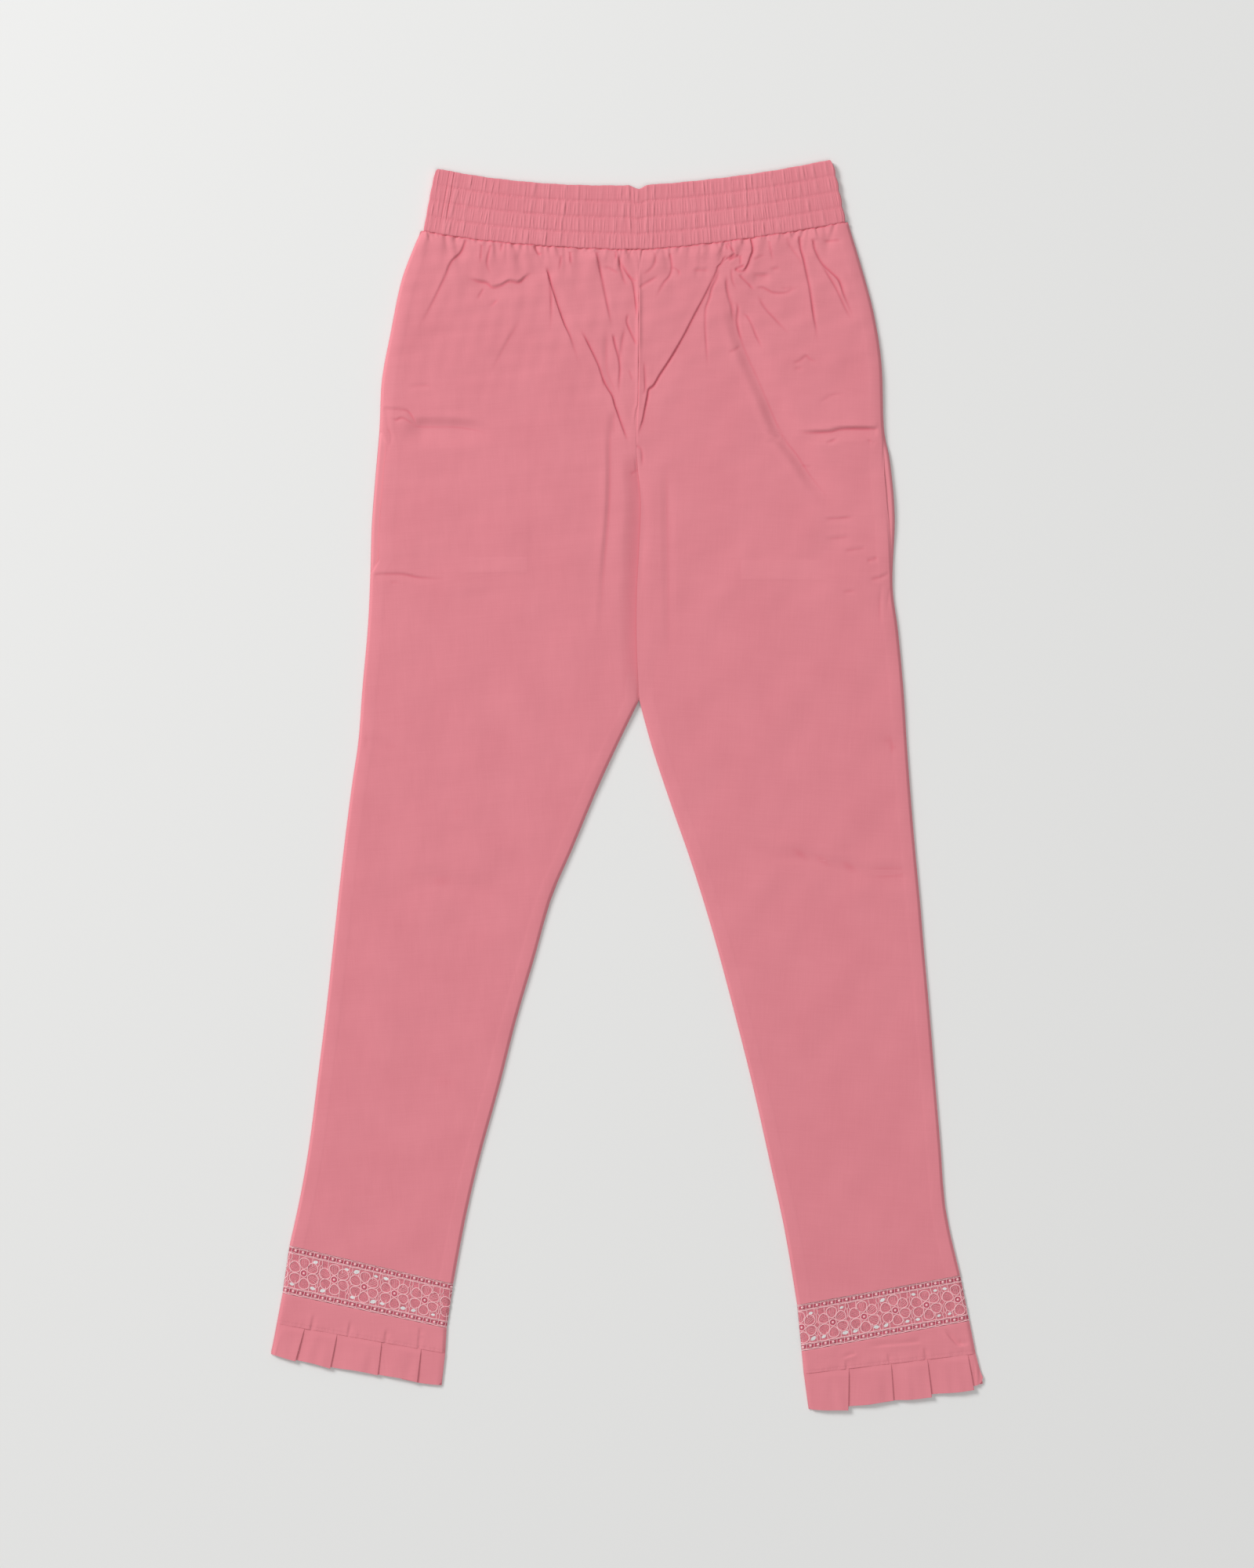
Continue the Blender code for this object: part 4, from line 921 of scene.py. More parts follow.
def edge_roll(distance):
    """How far cloth that rounds down to its edge has risen, from 0 at the edge to 1."""
    return quarter_round(distance, EDGE_ROLL)


def edge_drop(distance):
    """How far cloth turns down at a seam towards the back half below it: 1 at the seam, to 0."""
    return 1 - smoothstep(distance / EDGE_DROP_WIDTH)


def greater(first, second, soft=SOFT_JOIN):
    """The greater of two heights, with a soft join."""
    return 0.5 * (first + second + np.sqrt((first - second) ** 2 + soft * soft))


def ripple(x, y, kind, side="right"):
    """Slow, uneven waves of the cloth, from a few sines in different directions."""
    random = np.random.RandomState(kind.seed + (side == "left"))
    total = np.zeros_like(x)
    for _ in range(RIPPLE_SINES):
        angle = random.uniform(0, math.pi)
        length = kind.size * random.uniform(*RIPPLE_SPREAD)
        phase = random.uniform(0, 2 * math.pi)
        total += np.sin((x * math.cos(angle) + y * math.sin(angle)) * 2 * math.pi / length + phase)
    return total * kind.height / math.sqrt(RIPPLE_SINES)


def smooth_path(points):
    """Points on the smooth curve through a crease's own points."""
    spans = len(points) - 1
    return on_curve(points, np.linspace(0, spans, spans * PATH_STEPS + 1)[:-1].tolist() + [spans])


def signed_distance(path, x, y):
    """Distance of places from a path, positive on the left hand of its direction, and the part along it."""
    best = np.full(x.shape, np.inf)
    signed = np.zeros_like(x)
    along = np.zeros_like(x)
    lengths = np.hypot(*(path[1:] - path[:-1]).T)
    starts = np.concatenate([[0.0], np.cumsum(lengths)])
    for index, ((ax, ay), (bx, by)) in enumerate(zip(path, path[1:])):
        dx, dy = bx - ax, by - ay
        part = np.clip(((x - ax) * dx + (y - ay) * dy) / (dx * dx + dy * dy), 0.0, 1.0)
        away = np.hypot(x - ax - part * dx, y - ay - part * dy)
        side = dx * (y - ay) - dy * (x - ax)
        nearer = away < best
        best = np.where(nearer, away, best)
        signed = np.where(nearer, np.where(side < 0, -away, away), signed)
        along = np.where(nearer, (starts[index] + part * lengths[index]) / starts[-1], along)
    return signed, along


def crease_profile(crease, away):
    """Height beside a crease: its trough, and the crest that stands above the steeper of its sides."""
    width = np.where(away < 0, crease.minus, crease.plus)
    trough = -crease.depth * smoothstep(1 - np.abs(away) / width)
    narrow, wide = sorted((crease.minus, crease.plus))
    beyond = away if crease.plus < crease.minus else -away
    falling = smoothstep(1 - (beyond - narrow) / CREST_WIDTH)
    crest = np.where(beyond < narrow, smoothstep(beyond / narrow), falling)
    leaning = float(smoothstep((wide / narrow - LEAN_FROM) / LEAN_RANGE))
    return trough + CREST_SHARE * leaning * max(crease.depth, 0) * crest


def crease_field(creases, side, x, y):
    """Height, sideways shift, sharpness and lines of painted shade that the creases of a side give at places.
    """
    field = CreaseField(*(np.zeros_like(x) for _ in range(5)))
    for number, crease in enumerate(creases):
        if crease.side != side:
            continue
        path = smooth_path(crease.points)
        narrow = min(crease.minus, crease.plus)
        reach = max(crease.minus, crease.plus, narrow + CREST_WIDTH) + LAP_FADE
        low, high = path.min(axis=0) - reach, path.max(axis=0) + reach
        near = (x > low[0]) & (x < high[0]) & (y > low[1]) & (y < high[1])
        if not near.any():
            continue
        away, along = signed_distance(path, x[near], y[near])
        # Its place in the list gives each crease its own unevenness
        uneven = 1 - UNEVEN + UNEVEN * np.sin(along * UNEVEN_RATE + number * UNEVEN_STEP)
        strength = smoothstep(along / crease.start) * smoothstep((1 - along) / crease.end) * uneven
        field.height[near] += strength * crease_profile(crease, away)
        steepness = min(SHARP_MOST, SHARP_SLOPE * abs(crease.depth) / narrow)
        field.sharp[near] += steepness * strength * bell(away, narrow + SHARP_MARGIN)
        # Painted shade: a dark line of colour along each crease that sinks
        field.line[near] += (crease.depth > 0) * steepness * strength * bell(away, LINE_WIDTH)
        if crease.lap:
            beyond = smoothstep(1 - (-away - crease.minus) / LAP_FADE)
            over = np.where(-away > crease.minus, beyond, smoothstep(-away / crease.minus))
            direction = path[-1] - path[0]
            direction = direction / np.hypot(*direction)
            push = crease.lap * strength * over
            field.shift_x[near] += -direction[1] * push
            field.shift_y[near] += direction[0] * push
    return field


def band_rows(part):
    """The waistband's top and seam points at parts of its width from the -X end."""
    stations = on_curve(WAISTBAND, np.asarray(part, float) * (len(WAISTBAND) - 1))
    centre = np.abs(stations[..., 0] - WAISTBAND[CENTRE_STATION].top_x) / CENTRE_DIP_HALF_WIDTH
    stations[..., 1] -= CENTRE_DIP * smoothstep(1 - centre)
    return stations


BAND_SAMPLES = band_rows(np.linspace(0, 1, 400))


def seam_wobble(x):
    """Small scallops of the waist seam, where the gathers pull it."""
    return SEAM_WOBBLE * sine_sum(x, SEAM_SINES) / SEAM_SINES_REACH


def seam_y(x):
    """Y of the waist seam at given X."""
    return np.interp(x, BAND_SAMPLES[:, 2], BAND_SAMPLES[:, 3]) + seam_wobble(x)


def grid_normals(grid):
    """Unit normals of a grid of points, rows towards the hem and columns towards +X."""
    return unit(np.cross(np.gradient(grid, axis=0), np.gradient(grid, axis=1)))


def grid_faces(rows, columns, first=0, flip=False, ring=False):
    """Faces between the points of a grid. The columns of a ring close on themselves."""
    row, column = np.meshgrid(np.arange(rows - 1), np.arange(columns if ring else columns - 1), indexing="ij")
    here = row * columns + column
    beside = row * columns + (column + 1) % columns
    faces = np.stack((here, here + columns, beside + columns, beside), axis=-1).reshape(-1, 4) + first
    return faces[:, ::-1] if flip else faces


def border_loop(rows, columns, first=0):
    """Points round the border of a grid, clockwise from above."""
    top = np.arange(columns - 1)
    right = np.arange(rows - 1) * columns + columns - 1
    bottom = (rows - 1) * columns + np.arange(columns - 1, 0, -1)
    left = np.arange(rows - 1, 0, -1) * columns
    return np.concatenate([top, right, bottom, left]) + first


def wall_faces(fine, coarse):
    """Faces between two border loops, the first with a whole number of steps to each of the second's."""
    step = len(fine) // len(coarse)
    faces = []
    for index, corner in enumerate(coarse):
        along = [fine[(index * step + part) % len(fine)] for part in range(step + 1)]
        faces.append((*along, coarse[(index + 1) % len(coarse)], corner))
    return faces


def add_object(name, points, faces, materials, slots=None, tint=None, sharp_angle=CLOTH_SHARP):
    """An object from arrays of points and faces, smooth but for its sharp edges."""
    mesh = bpy.data.meshes.new(name)
    mesh.from_pydata([tuple(point) for point in points], [], [tuple(face) for face in faces])
    for material in materials:
        mesh.materials.append(material)
    if slots is not None:
        mesh.polygons.foreach_set("material_index", slots)
    if tint is not None:
        mesh.attributes.new("tint", "FLOAT", "POINT").data.foreach_set("value", tint)
    mesh.shade_smooth()
    mesh.set_sharp_from_angle(angle=math.radians(sharp_angle))
    return add_to_scene(name, mesh)


def shell_object(name, top, under, material, tint, step):
    """A closed thin shell between an upper and a lower grid, of which each so many points are kept."""
    rows, columns = top.shape[:2]
    count = rows * columns
    lower = under[::step, ::step]
    points = np.concatenate([top.reshape(-1, 3), lower.reshape(-1, 3)])
    faces = [
        *grid_faces(rows, columns),
        *grid_faces(*lower.shape[:2], count, flip=True),
        *wall_faces(border_loop(rows, columns), border_loop(*lower.shape[:2], count)),
    ]
    both = np.concatenate([tint.ravel(), tint[::step, ::step].ravel()])
    return add_object(name, points, faces, [material], tint=both)


def tube_object(name, outer, inner, material, tint):
    """A closed wall between an outer and an inner grid whose columns run all the way round."""
    rows, columns = outer.shape[:2]
    points = np.concatenate([outer.reshape(-1, 3), inner.reshape(-1, 3)])
    count = rows * columns
    rim = np.arange(columns)
    foot = (rows - 1) * columns + rim[::-1]
    inner_foot = count + (inner.shape[0] - 1) * columns + rim[::-1]
    faces = [
        *grid_faces(rows, columns, ring=True),
        *grid_faces(inner.shape[0], columns, count, flip=True, ring=True),
        *wall_faces(rim, count + rim),
        *wall_faces(foot, inner_foot),
    ]
    both = np.concatenate([tint.ravel(), np.zeros(inner.shape[0] * columns)])
    return add_object(name, points, faces, [material], tint=both)


# Materials


def set_inputs(node, **values):
    """Sets a node's inputs, each named with _ for its spaces."""
    for name, value in values.items():
        node.inputs[name.replace("_", " ")].default_value = value


def new_look(name, roughness, sheen, specular=0.3):
    """A material, its tree, and the object's coordinates for its textures."""
    material = bpy.data.materials.new(name)
    material.use_nodes = True
    nodes = material.node_tree.nodes
    shader = nodes["Principled BSDF"]
    set_inputs(shader, Roughness=roughness, Sheen_Weight=sheen, Sheen_Roughness=0.45,
               Sheen_Tint=(1.0, 0.78, 0.80, 1), Specular_IOR_Level=specular)
    place = nodes.new("ShaderNodeTexCoord").outputs["Object"]
    return Look(material, nodes, material.node_tree.links, shader, place)


def texture(look, kind, coordinates, **values):
    """A texture or mapping node, read at the coordinates."""
    node = look.nodes.new(kind)
    set_inputs(node, **values)
    look.links.new(coordinates, node.inputs["Vector"])
    return node


def wave_texture(look, coordinates, direction, **values):
    wave = texture(look, "ShaderNodeTexWave", coordinates, **values)
    wave.bands_direction = direction
    return wave.outputs["Fac"]


def stretched_noise(look, coordinates, scale, detail=2.0):
    """Noise drawn out along the axes where scale is small."""
    mapping = texture(look, "ShaderNodeMapping", coordinates, Scale=scale)
    noise = texture(look, "ShaderNodeTexNoise", mapping.outputs["Vector"], Scale=1.0, Detail=detail)
    return noise.outputs["Fac"]


def math_node(look, operation, first, second):
    """A sum or product of a socket with a second one or with a number."""
    node = look.nodes.new("ShaderNodeMath")
    node.operation = operation
    look.links.new(first, node.inputs[0])
    if isinstance(second, float):
        node.inputs[1].default_value = second
    else:
        look.links.new(second, node.inputs[1])
    return node.outputs[0]


def weighted_sum(look, terms):
    """The sum of (socket, weight) pairs."""
    total = None
    for socket, weight in terms:
        scaled = math_node(look, "MULTIPLY", socket, weight)
        total = scaled if total is None else math_node(look, "ADD", total, scaled)
    return total


def mix_colours(look, share, first, second):
    """From the first colour, at share 0, to the second. Each is three numbers or a socket."""
    mix = look.nodes.new("ShaderNodeMix")
    mix.data_type = "RGBA"
    look.links.new(share, mix.inputs[0])
    for socket, colour in zip(mix.inputs[6:8], (first, second)):
        if isinstance(colour, tuple):
            socket.default_value = (*colour, 1)
        else:
            look.links.new(colour, socket)
    return mix.outputs[2]


def finish_look(look, colour, height, strength, distance):
    """Joins the colour and a bump to the shader."""
    look.links.new(colour, look.shader.inputs["Base Color"])
    bump = look.nodes.new("ShaderNodeBump")
    set_inputs(bump, Strength=strength, Distance=distance)
    look.links.new(height, bump.inputs["Height"])
    look.links.new(bump.outputs["Normal"], look.shader.inputs["Normal"])
    return bump


def scaled_colour(colour, share):
    return tuple(min(channel * share, 1.0) for channel in colour)


def cotton_material(name, turn=0.0):
    """Plain-woven cotton: slubs along both threads, a soft mottle, and a fine weave in the bump. Where the
    tint is below 0 the colour mixes towards that of painted shade.
    """
    look = new_look(name, roughness=0.86, sheen=0.22)
    turned = texture(look, "ShaderNodeMapping", look.place, Rotation=(0, 0, math.radians(turn)))
    grain = turned.outputs["Vector"]
    warp = stretched_noise(look, grain, (*SLUB_SCALE_WARP, SLUB_SCALE_UP))
    weft = stretched_noise(look, grain, (*SLUB_SCALE_WEFT, SLUB_SCALE_UP))
    mottle = stretched_noise(look, grain, (MOTTLE_SCALE,) * 3, 3.0)
    attribute = look.nodes.new("ShaderNodeAttribute")
    attribute.attribute_name = "tint"
    tint = attribute.outputs["Fac"]
    spread = look.nodes.new("ShaderNodeMapRange")
    set_inputs(spread, From_Min=TINT_RANGE[0], From_Max=TINT_RANGE[1])
    shades = ((warp, SLUB_SHARE), (weft, SLUB_SHARE), (mottle, MOTTLE_SHARE), (tint, TINT_SHARE))
    look.links.new(weighted_sum(look, shades), spread.inputs["Value"])
    plain = mix_colours(look, spread.outputs["Result"], COTTON_DARK, COTTON_LIGHT)
    # Painted shade: where the tint is below 0, the colour mixes towards that of painted shade
    painted_shade_share = math_node(look, "MULTIPLY", tint, -1.0)
    painted_shade_share.node.use_clamp = True
    colour = mix_colours(look, painted_shade_share, plain, COTTON_PAINTED_SHADE)
    weave = [
        (wave_texture(look, grain, direction, Scale=WEAVE_SCALE, Distortion=1.2, Detail=1.0), 0.25)
        for direction in ("X", "Y")
    ]
    finish_look(look, colour, weighted_sum(look, (*weave, (warp, 0.5), (weft, 0.5))), 0.22, 0.00018)
    return look.material


def thread_material(name, colour, roughness=0.55, sheen=0.3):
    """Twisted thread or cord: fine diagonal strands in the bump and a slight change of shade."""
    look = new_look(name, roughness, sheen, specular=0.45)
    strands = wave_texture(look, look.place, "DIAGONAL", Scale=TWIST_SCALE, Distortion=2.0)
    shade = stretched_noise(look, look.place, (THREAD_SHADE_SCALE,) * 3)
    shaded = mix_colours(look, shade, scaled_colour(colour, 0.84), scaled_colour(colour, 1.12))
    finish_look(look, shaded, strands, 0.5, 0.0001)
    return look.material


def net_material(name, colour):
    """Close embroidered net: darker where the light falls between its threads."""
    look = new_look(name, roughness=0.7, sheen=0.2)
    cells = texture(look, "ShaderNodeTexVoronoi", look.place, Scale=NET_SCALE).outputs["Distance"]
    shade = stretched_noise(look, look.place, (NET_SHADE_SCALE,) * 3, 3.0)
    share = weighted_sum(look, ((cells, 0.7), (shade, 0.6)))
    shaded = mix_colours(look, share, scaled_colour(colour, 1.45), scaled_colour(colour, 0.62))
    finish_look(look, shaded, cells, 0.6, 0.0002).invert = True
    return look.material


# Front, back and pocket panels


def waist_gathers(side, layer, x, down):
    """Pinches where a panel is drawn into the waistband: many small ones, and long soft ones among them."""
    seed = GATHER_SEED[layer] + (side == "left")
    small = pinches(side, x, down, seed, SMALL_PINCHES)
    return small + pinches(side, x, down, seed + LONG_PINCH_SEED, LONG_PINCHES)


def pinches(side, x, down, seed, kind):
    """One size of pinches along the waist seam, each leaning and fading downwards."""
    random = np.random.RandomState(seed)
    total = np.zeros_like(x)
    near = down < kind.length[1]
    across, below = x[near], down[near]
    place, end = GATHERED[side]
    while place < end:
        width = random.uniform(*kind.width)
        length = between(kind.length, random.uniform(0, 1) ** 2)
        lean = random.uniform(-PINCH_LEAN, PINCH_LEAN)
        depth = random.uniform(*kind.depth)
        offset = (across - place - lean * below) / (width * (1 + below / PINCH_WIDENS_IN))
        slow = random.uniform(*PINCH_SLOW_SIDE)
        pinch = smoothstep(1 - np.where(offset > 0, offset / slow, -offset))
        crest = bell(offset + PINCH_CREST_AT, PINCH_CREST_WIDTH)
        total[near] += depth * (PINCH_CREST * crest - pinch) * smoothstep(1 - below / length)
        place += random.uniform(*kind.space)
    return total


def centre_ridge(y, from_seam):
    """The pinched ridge on the centre front seam, and the fine line of the seam itself."""
    ridge = smoothstep((y - RIDGE_LOW) / RIDGE_LOW_FADE) * smoothstep((RIDGE_HIGH - y) / RIDGE_HIGH_FADE)
    raised = RIDGE_HEIGHT * ridge * bell(from_seam, RIDGE_WIDTH)
    return raised - SEAM_LINE_DEPTH * bell(from_seam, SEAM_LINE_WIDTH)


def panel_places(side, at, parts, inset, tuck):
    """Places of a panel's grid, with the distances of each from the side edge and from the inner edge."""
    rows = leg_rows(side, at)
    sign = side_sign(side)
    outer = rows[:, :2].copy()
    inner = rows[:, 2:].copy()
    outer[:, 0] -= sign * inset
    inner[:, 0] += sign * (SEAM_GAP / 2 - tuck)
    top = leg_rows(side, np.zeros(1))[0]
    x = outer[:, :1] + (inner[:, :1] - outer[:, :1]) * parts
    y = outer[:, 1:] + (inner[:, 1:] - outer[:, 1:]) * parts
    straight_y = top[1] + (top[3] - top[1]) * parts
    y = y + (seam_y(x) + WAIST_TUCK - straight_y) * (1 - smoothstep(at))[:, None]
    width = np.hypot(*(inner - outer).T)[:, None]
    return x, y, parts * width, (1 - parts) * width


def spread_parts(density, columns):
    """Parts of the width where a row's columns stand, closer where the density is high."""
    rows, samples = density.shape
    total = np.cumsum((density[:, 1:] + density[:, :-1]) / 2, axis=1)
    total = np.concatenate([np.zeros((rows, 1)), total], axis=1)
    total /= total[:, -1:]
    wanted = np.linspace(0, 1, columns)
    places = np.linspace(0, 1, samples)
    return np.array([np.interp(wanted, row, places) for row in total])


def fine_rows():
    """Rows of a panel's grid in rows of the leg's table, closer in the upper part and at the waist seam."""
    upper = np.linspace(0, UPPER_END, UPPER_ROWS)
    lower = np.linspace(UPPER_END, len(LEG_ROWS["right"]) - 1, LEG_ROWS_FINE + 1)[1:]
    return np.concatenate([WAIST_ROWS, upper[2:], lower])


def shown_edge(inside, blur=PRINT_BLUR):
    """How far a layer below shows at a distance inside its edge: 0 outside, to 1."""
    return smoothstep(inside / blur + 0.5)


def bag_print(side, x, y):
    """How far the pocket bag shows through: 1 over it, easing to 0 within a millimetre past its edges."""
    bag = BAGS[side]
    inside_y = shown_edge(y - bag.bottom_y, BAG_BLUR) * shown_edge(bag.top_y - y, BAG_TOP_BLUR)
    return shown_edge(side_sign(side) * (x - bag.inner_x), BAG_BLUR) * inside_y


def strip_print(side, x, y):
    """How far the seam of the pocket bag shows through."""
    strip = BAG_STRIP[side]
    inside_x = shown_edge(x - strip.low_x, strip.low_blur) * shown_edge(strip.high_x - x, strip.high_blur)
    return inside_x * shown_edge(y - strip.low_y) * shown_edge(strip.high_y - y)


def allowance_print(at, from_outer, from_inner):
    """How far the seam allowances show through, along the side seam and, below the fork, the inseam."""
    inner = shown_edge(SEAM_ALLOWANCE - from_inner) * smoothstep(at[:, None] - FORK_ROW + 1)
    return shown_edge(SEAM_ALLOWANCE - from_outer), inner


def cloth_piece(node, top, under, material, tint, step=1):
    """The shell of one cloth piece, riding its body in the place of its node."""
    made = shell_object(f"{node}_cloth", top, under, material, tint, step)
    finish_piece(made, node)
    return made


def front_panel_grid(side, at, inset, tuck):
    """Places of the front panel's grid, with its columns closer at its edges and creases."""
    parts = np.tile(np.linspace(0, 1, DENSITY_SAMPLES), (len(at), 1))
    x, y, from_outer, from_inner = panel_places(side, at, parts, inset, tuck)
    density = 1 + EDGE_DENSITY * bell(from_outer, EDGE_DENSITY_WIDTH)
    density += EDGE_DENSITY * bell(from_inner, EDGE_DENSITY_WIDTH)
    density += CREASE_DENSITY * crease_field(CREASES, side, x, y).sharp
    for _ in range(2):
        density[1:-1] = (density[:-2] + density[1:-1] + density[2:]) / 3
    return panel_places(side, at, spread_parts(density, PANEL_COLUMNS), inset, tuck)


def make_front_panel(side, material):
    at = fine_rows()
    column = at[:, None]
    inset = MOUTH_INSET[side] * read_table(MOUTH[side], at)
    tuck = read_table(TUCK, at) if side == "right" else np.zeros_like(at)
    x, y, from_outer, from_inner = front_panel_grid(side, at, inset, tuck)

    # The rounded edges, and the right front's part below the lap, which is flat at its edge
    tucked_rows = (side == "right") & (at > CROTCH_ROW) & (at <= FORK_ROW)
    flat_edge = np.where(tucked_rows, tuck + TUCK_CLEARANCE, 0.0)[:, None]
    inside = np.maximum(from_inner - flat_edge, 0.0)
    open_seam = read_table(INSEAM, column)
    outer = edge_roll(from_outer + inset[:, None])
    inner = 1 + (edge_roll(inside) - 1) * open_seam
    lapped = read_table(LAP_UNDER, column) * (side == "right")
    inner += (LAP_LOW + (1 - LAP_LOW) * smoothstep(inside / LAP_WIDTH) - inner) * lapped

    # Loft, creases and waves
    field = crease_field(CREASES, side, x, y)
    down = seam_y(x) - y
    crumpled = CRUMPLE_LEAST + (1 - CRUMPLE_LEAST) * smoothstep(1.3 - down / CRUMPLE_REACH)
    waves = ripple(x, y, FRONT_WAVES, side) + ripple(x, y, FRONT_CRUMPLES, side) * crumpled
    calm = open_seam + (1 - open_seam) * smoothstep(from_inner / SEAM_CALM)
    edge = outer * inner * calm
    rise = (read_table(LOFT, column) + (field.height + waves) * calm) * outer * inner

    # What lies below holds it up: the pocket mouth's edge, the right front under the lap, and the pocket bag
    mouth = read_table(MOUTH[side], column)
    rise = greater(rise, MOUTH_LIFT * mouth * smoothstep(MOUTH_REACH - from_outer / EDGE_ROLL))
    if side == "left":
        held = read_table(LAP_OVER, column) * smoothstep(LAP_OVER_REACH - from_inner / EDGE_ROLL)
        rise = greater(rise, held, LAP_JOIN)
    bag = bag_print(side, x, y)
    rise = greater(rise, BAG_CLEAR * bag)

    # Gathers, and the prints of allowances, bag and centre seam
    strip = strip_print(side, x, y)
    allowance_outer, allowance_inner = allowance_print(at, from_outer, from_inner)
    gathers = waist_gathers(side, "front", x, down)
    ridge = (1 - open_seam) * centre_ridge(y, from_inner)
    rise += gathers * calm + ALLOWANCE_HEIGHT * (allowance_outer + allowance_inner)
    rise += BAG_PRINT_HEIGHT * bag + STRIP_PRINT_HEIGHT * strip + ridge
    rise -= WAIST_GROOVE * smoothstep(1 - down / WAIST_GROOVE_WIDTH)
    tucked = smoothstep((flat_edge + TUCK_FADE - from_inner) / TUCK_FADE) * (flat_edge > 0)
    rise = np.maximum(rise + (np.minimum(rise, LAP_HELD) - rise) * tucked * lapped, 0.0)

    # At its side seam and inseam it turns down to the back panel
    drop = edge_drop(from_outer) * (1 - mouth) * smoothstep(down / WAIST_DROP_FADE)
    drop = np.maximum(drop, edge_drop(from_inner) * smoothstep(column - FORK_ROW + 0.3))
    z = FRONT_REST + rise + SHELL_TOP - PANEL_DROP * drop
    top = np.stack([x + field.shift_x * edge, y + field.shift_y * edge, z], axis=2)

    tint = ALLOWANCE_TINT * allowance_outer + ALLOWANCE_TINT * allowance_inner
    tint += BAG_TINT * bag
    tint += STRIP_TINT * strip
    # Painted shade on the right front beside its tucked edge, under the lap of the left front
    shaded = PAINTED_LAP_SHADE * lapped * smoothstep(1 - inside / LAP_WIDTH)
    # Painted shade: the creases' dark lines and the shade under the lap darken the cloth's colour
    tint -= PAINTED_CREASE_SHADE * np.minimum(field.line, 1.0) + shaded
    # Painted shade: a dark band of colour just below the waist seam, with darker spots along it
    dots = smoothstep(sine_sum(x, SEAM_SHADE_DOT_SINES) + 0.3)
    tint -= (PAINTED_SEAM_SHADE + PAINTED_SEAM_SHADE_DOTS * dots) * smoothstep(1.3 - down / SEAM_SHADE)

    top, tint = left_to_right(side, top, tint)
    made = cloth_piece(f"front_panel_{side}", top, top - grid_normals(top) * SHELL, material, tint, step=2)


def make_back_panel(side, material):
    at = fine_rows()
    at = np.append(at[:-1:BACK_ROW_STEP], at[-1])
    parts = np.tile(np.linspace(0, 1, BACK_COLUMNS), (len(at), 1))
    zero = np.zeros_like(at)
    x, y, from_outer, from_inner = panel_places(side, at, parts, zero, zero)
    field = crease_field(BACK_CREASES, side, x, y)
    gathers = waist_gathers(side, "back", x, seam_y(x) - y)
    waves = BACK_LIFT + ripple(x, y, BACK_WAVES)
    edges = smoothstep(np.minimum(from_outer, from_inner) / BACK_EDGE_FADE)
    lift = (-field.height + BACK_GATHER_SHARE * np.abs(gathers) + np.maximum(waves, 0)) * edges
    lift = np.clip(lift, 0.0, BACK_LIFT_MOST)
    allowance_outer, allowance_inner = allowance_print(at, from_outer, from_inner)
    under = np.stack([x, y, lift], axis=2)
    top = np.stack([x, y, lift * BACK_TOP_SHARE + BACK_TOP], axis=2)
    tint = ALLOWANCE_TINT * (allowance_outer + allowance_inner)
    top, under, tint = left_to_right(side, top, under, tint)
    cloth_piece(f"back_panel_{side}", top, under, material, tint)


def finish_piece(made, node=None):
    """Gives a piece its body, and hides the model's part for the node that it stands for."""
    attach(made, BODY)
    if node:
        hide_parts(node)


def row_place(side, y):
    """Which row of the leg table has its side edge at given Y."""
    at = np.linspace(0, len(LEG_ROWS[side]) - 1, PLACE_SAMPLES)
    return np.interp(-y, -leg_rows(side, at)[:, 1], at)


def make_pocket_bag(side, material):
    """The bag in the pocket mouth. There it rises with the panel, and it turns down to the side seam."""
    bag = BAGS[side]
    sign = side_sign(side)
    y = np.linspace(bag.top_y, bag.bottom_y, BAG_ROWS)
    from_end = np.minimum(bag.top_y - y, y - bag.bottom_y)
    at = row_place(side, y)
    edge_x = leg_rows(side, at)[:, 0]
    outer_x = edge_x - sign * between((BAG_SIDE_INSET, BAG_MOUTH_INSET), read_table(BAG_REACH, at))
    inner_x = bag.inner_x + sign * (BAG_CORNER * (1 - quarter_round(from_end, BAG_CORNER)))
    parts = np.linspace(0, 1, BAG_COLUMNS) ** BAG_COLUMN_POWER
    x = outer_x[:, None] + (inner_x - outer_x)[:, None] * parts
    y = y[:, None] * np.ones_like(parts)
    from_edge = np.maximum(sign * (edge_x[:, None] - x), 0.0)
    loft = read_table(LOFT, at)[:, None] + crease_field(CREASES, side, x, y).height
    opened = MOUTH_INSET[side] * read_table(MOUTH[side], at)[:, None]
    at_mouth = np.maximum(loft * edge_roll(np.maximum(from_edge, opened)) - BAG_BELOW_PANEL, 0.0)
    faded = smoothstep(1 - (from_edge - MOUTH_INSET[side] - BAG_DROP_FROM) / BAG_DROP)
    raised = np.where(opened > BAG_OPENED, at_mouth * quarter_round(from_edge, BAG_ROLL) * faded, 0.0)
    z = FRONT_REST + BAG_REST + ripple(x, y, BAG_WAVES) + raised - BAG_EDGE_DROP * edge_drop(from_edge)
    top, = left_to_right(side, np.stack([x, y, z], axis=2))
    tint = np.full(x.shape, POCKET_TINT)
    made = cloth_piece(f"pocket_bag_{side}", top, top - (0, 0, SHELL), material, tint)


# Waistband


def pucker_set(random, count, length, widths):
    """Puckers along the band: place, width, lean, height, and strength at each row of stitches."""
    places = np.cumsum(random.uniform(*PUCKER_SPACE, count))
    places = places / places[-1] * (length - 2 * PUCKER_MARGIN) + PUCKER_MARGIN
    return [
        (place, random.uniform(*widths), random.uniform(-PUCKER_LEAN, PUCKER_LEAN),
         random.uniform(*PUCKER_HEIGHT), random.uniform(*PUCKER_STRENGTH, 2 * BAND_CHANNELS + 1))
        for place in places
    ]


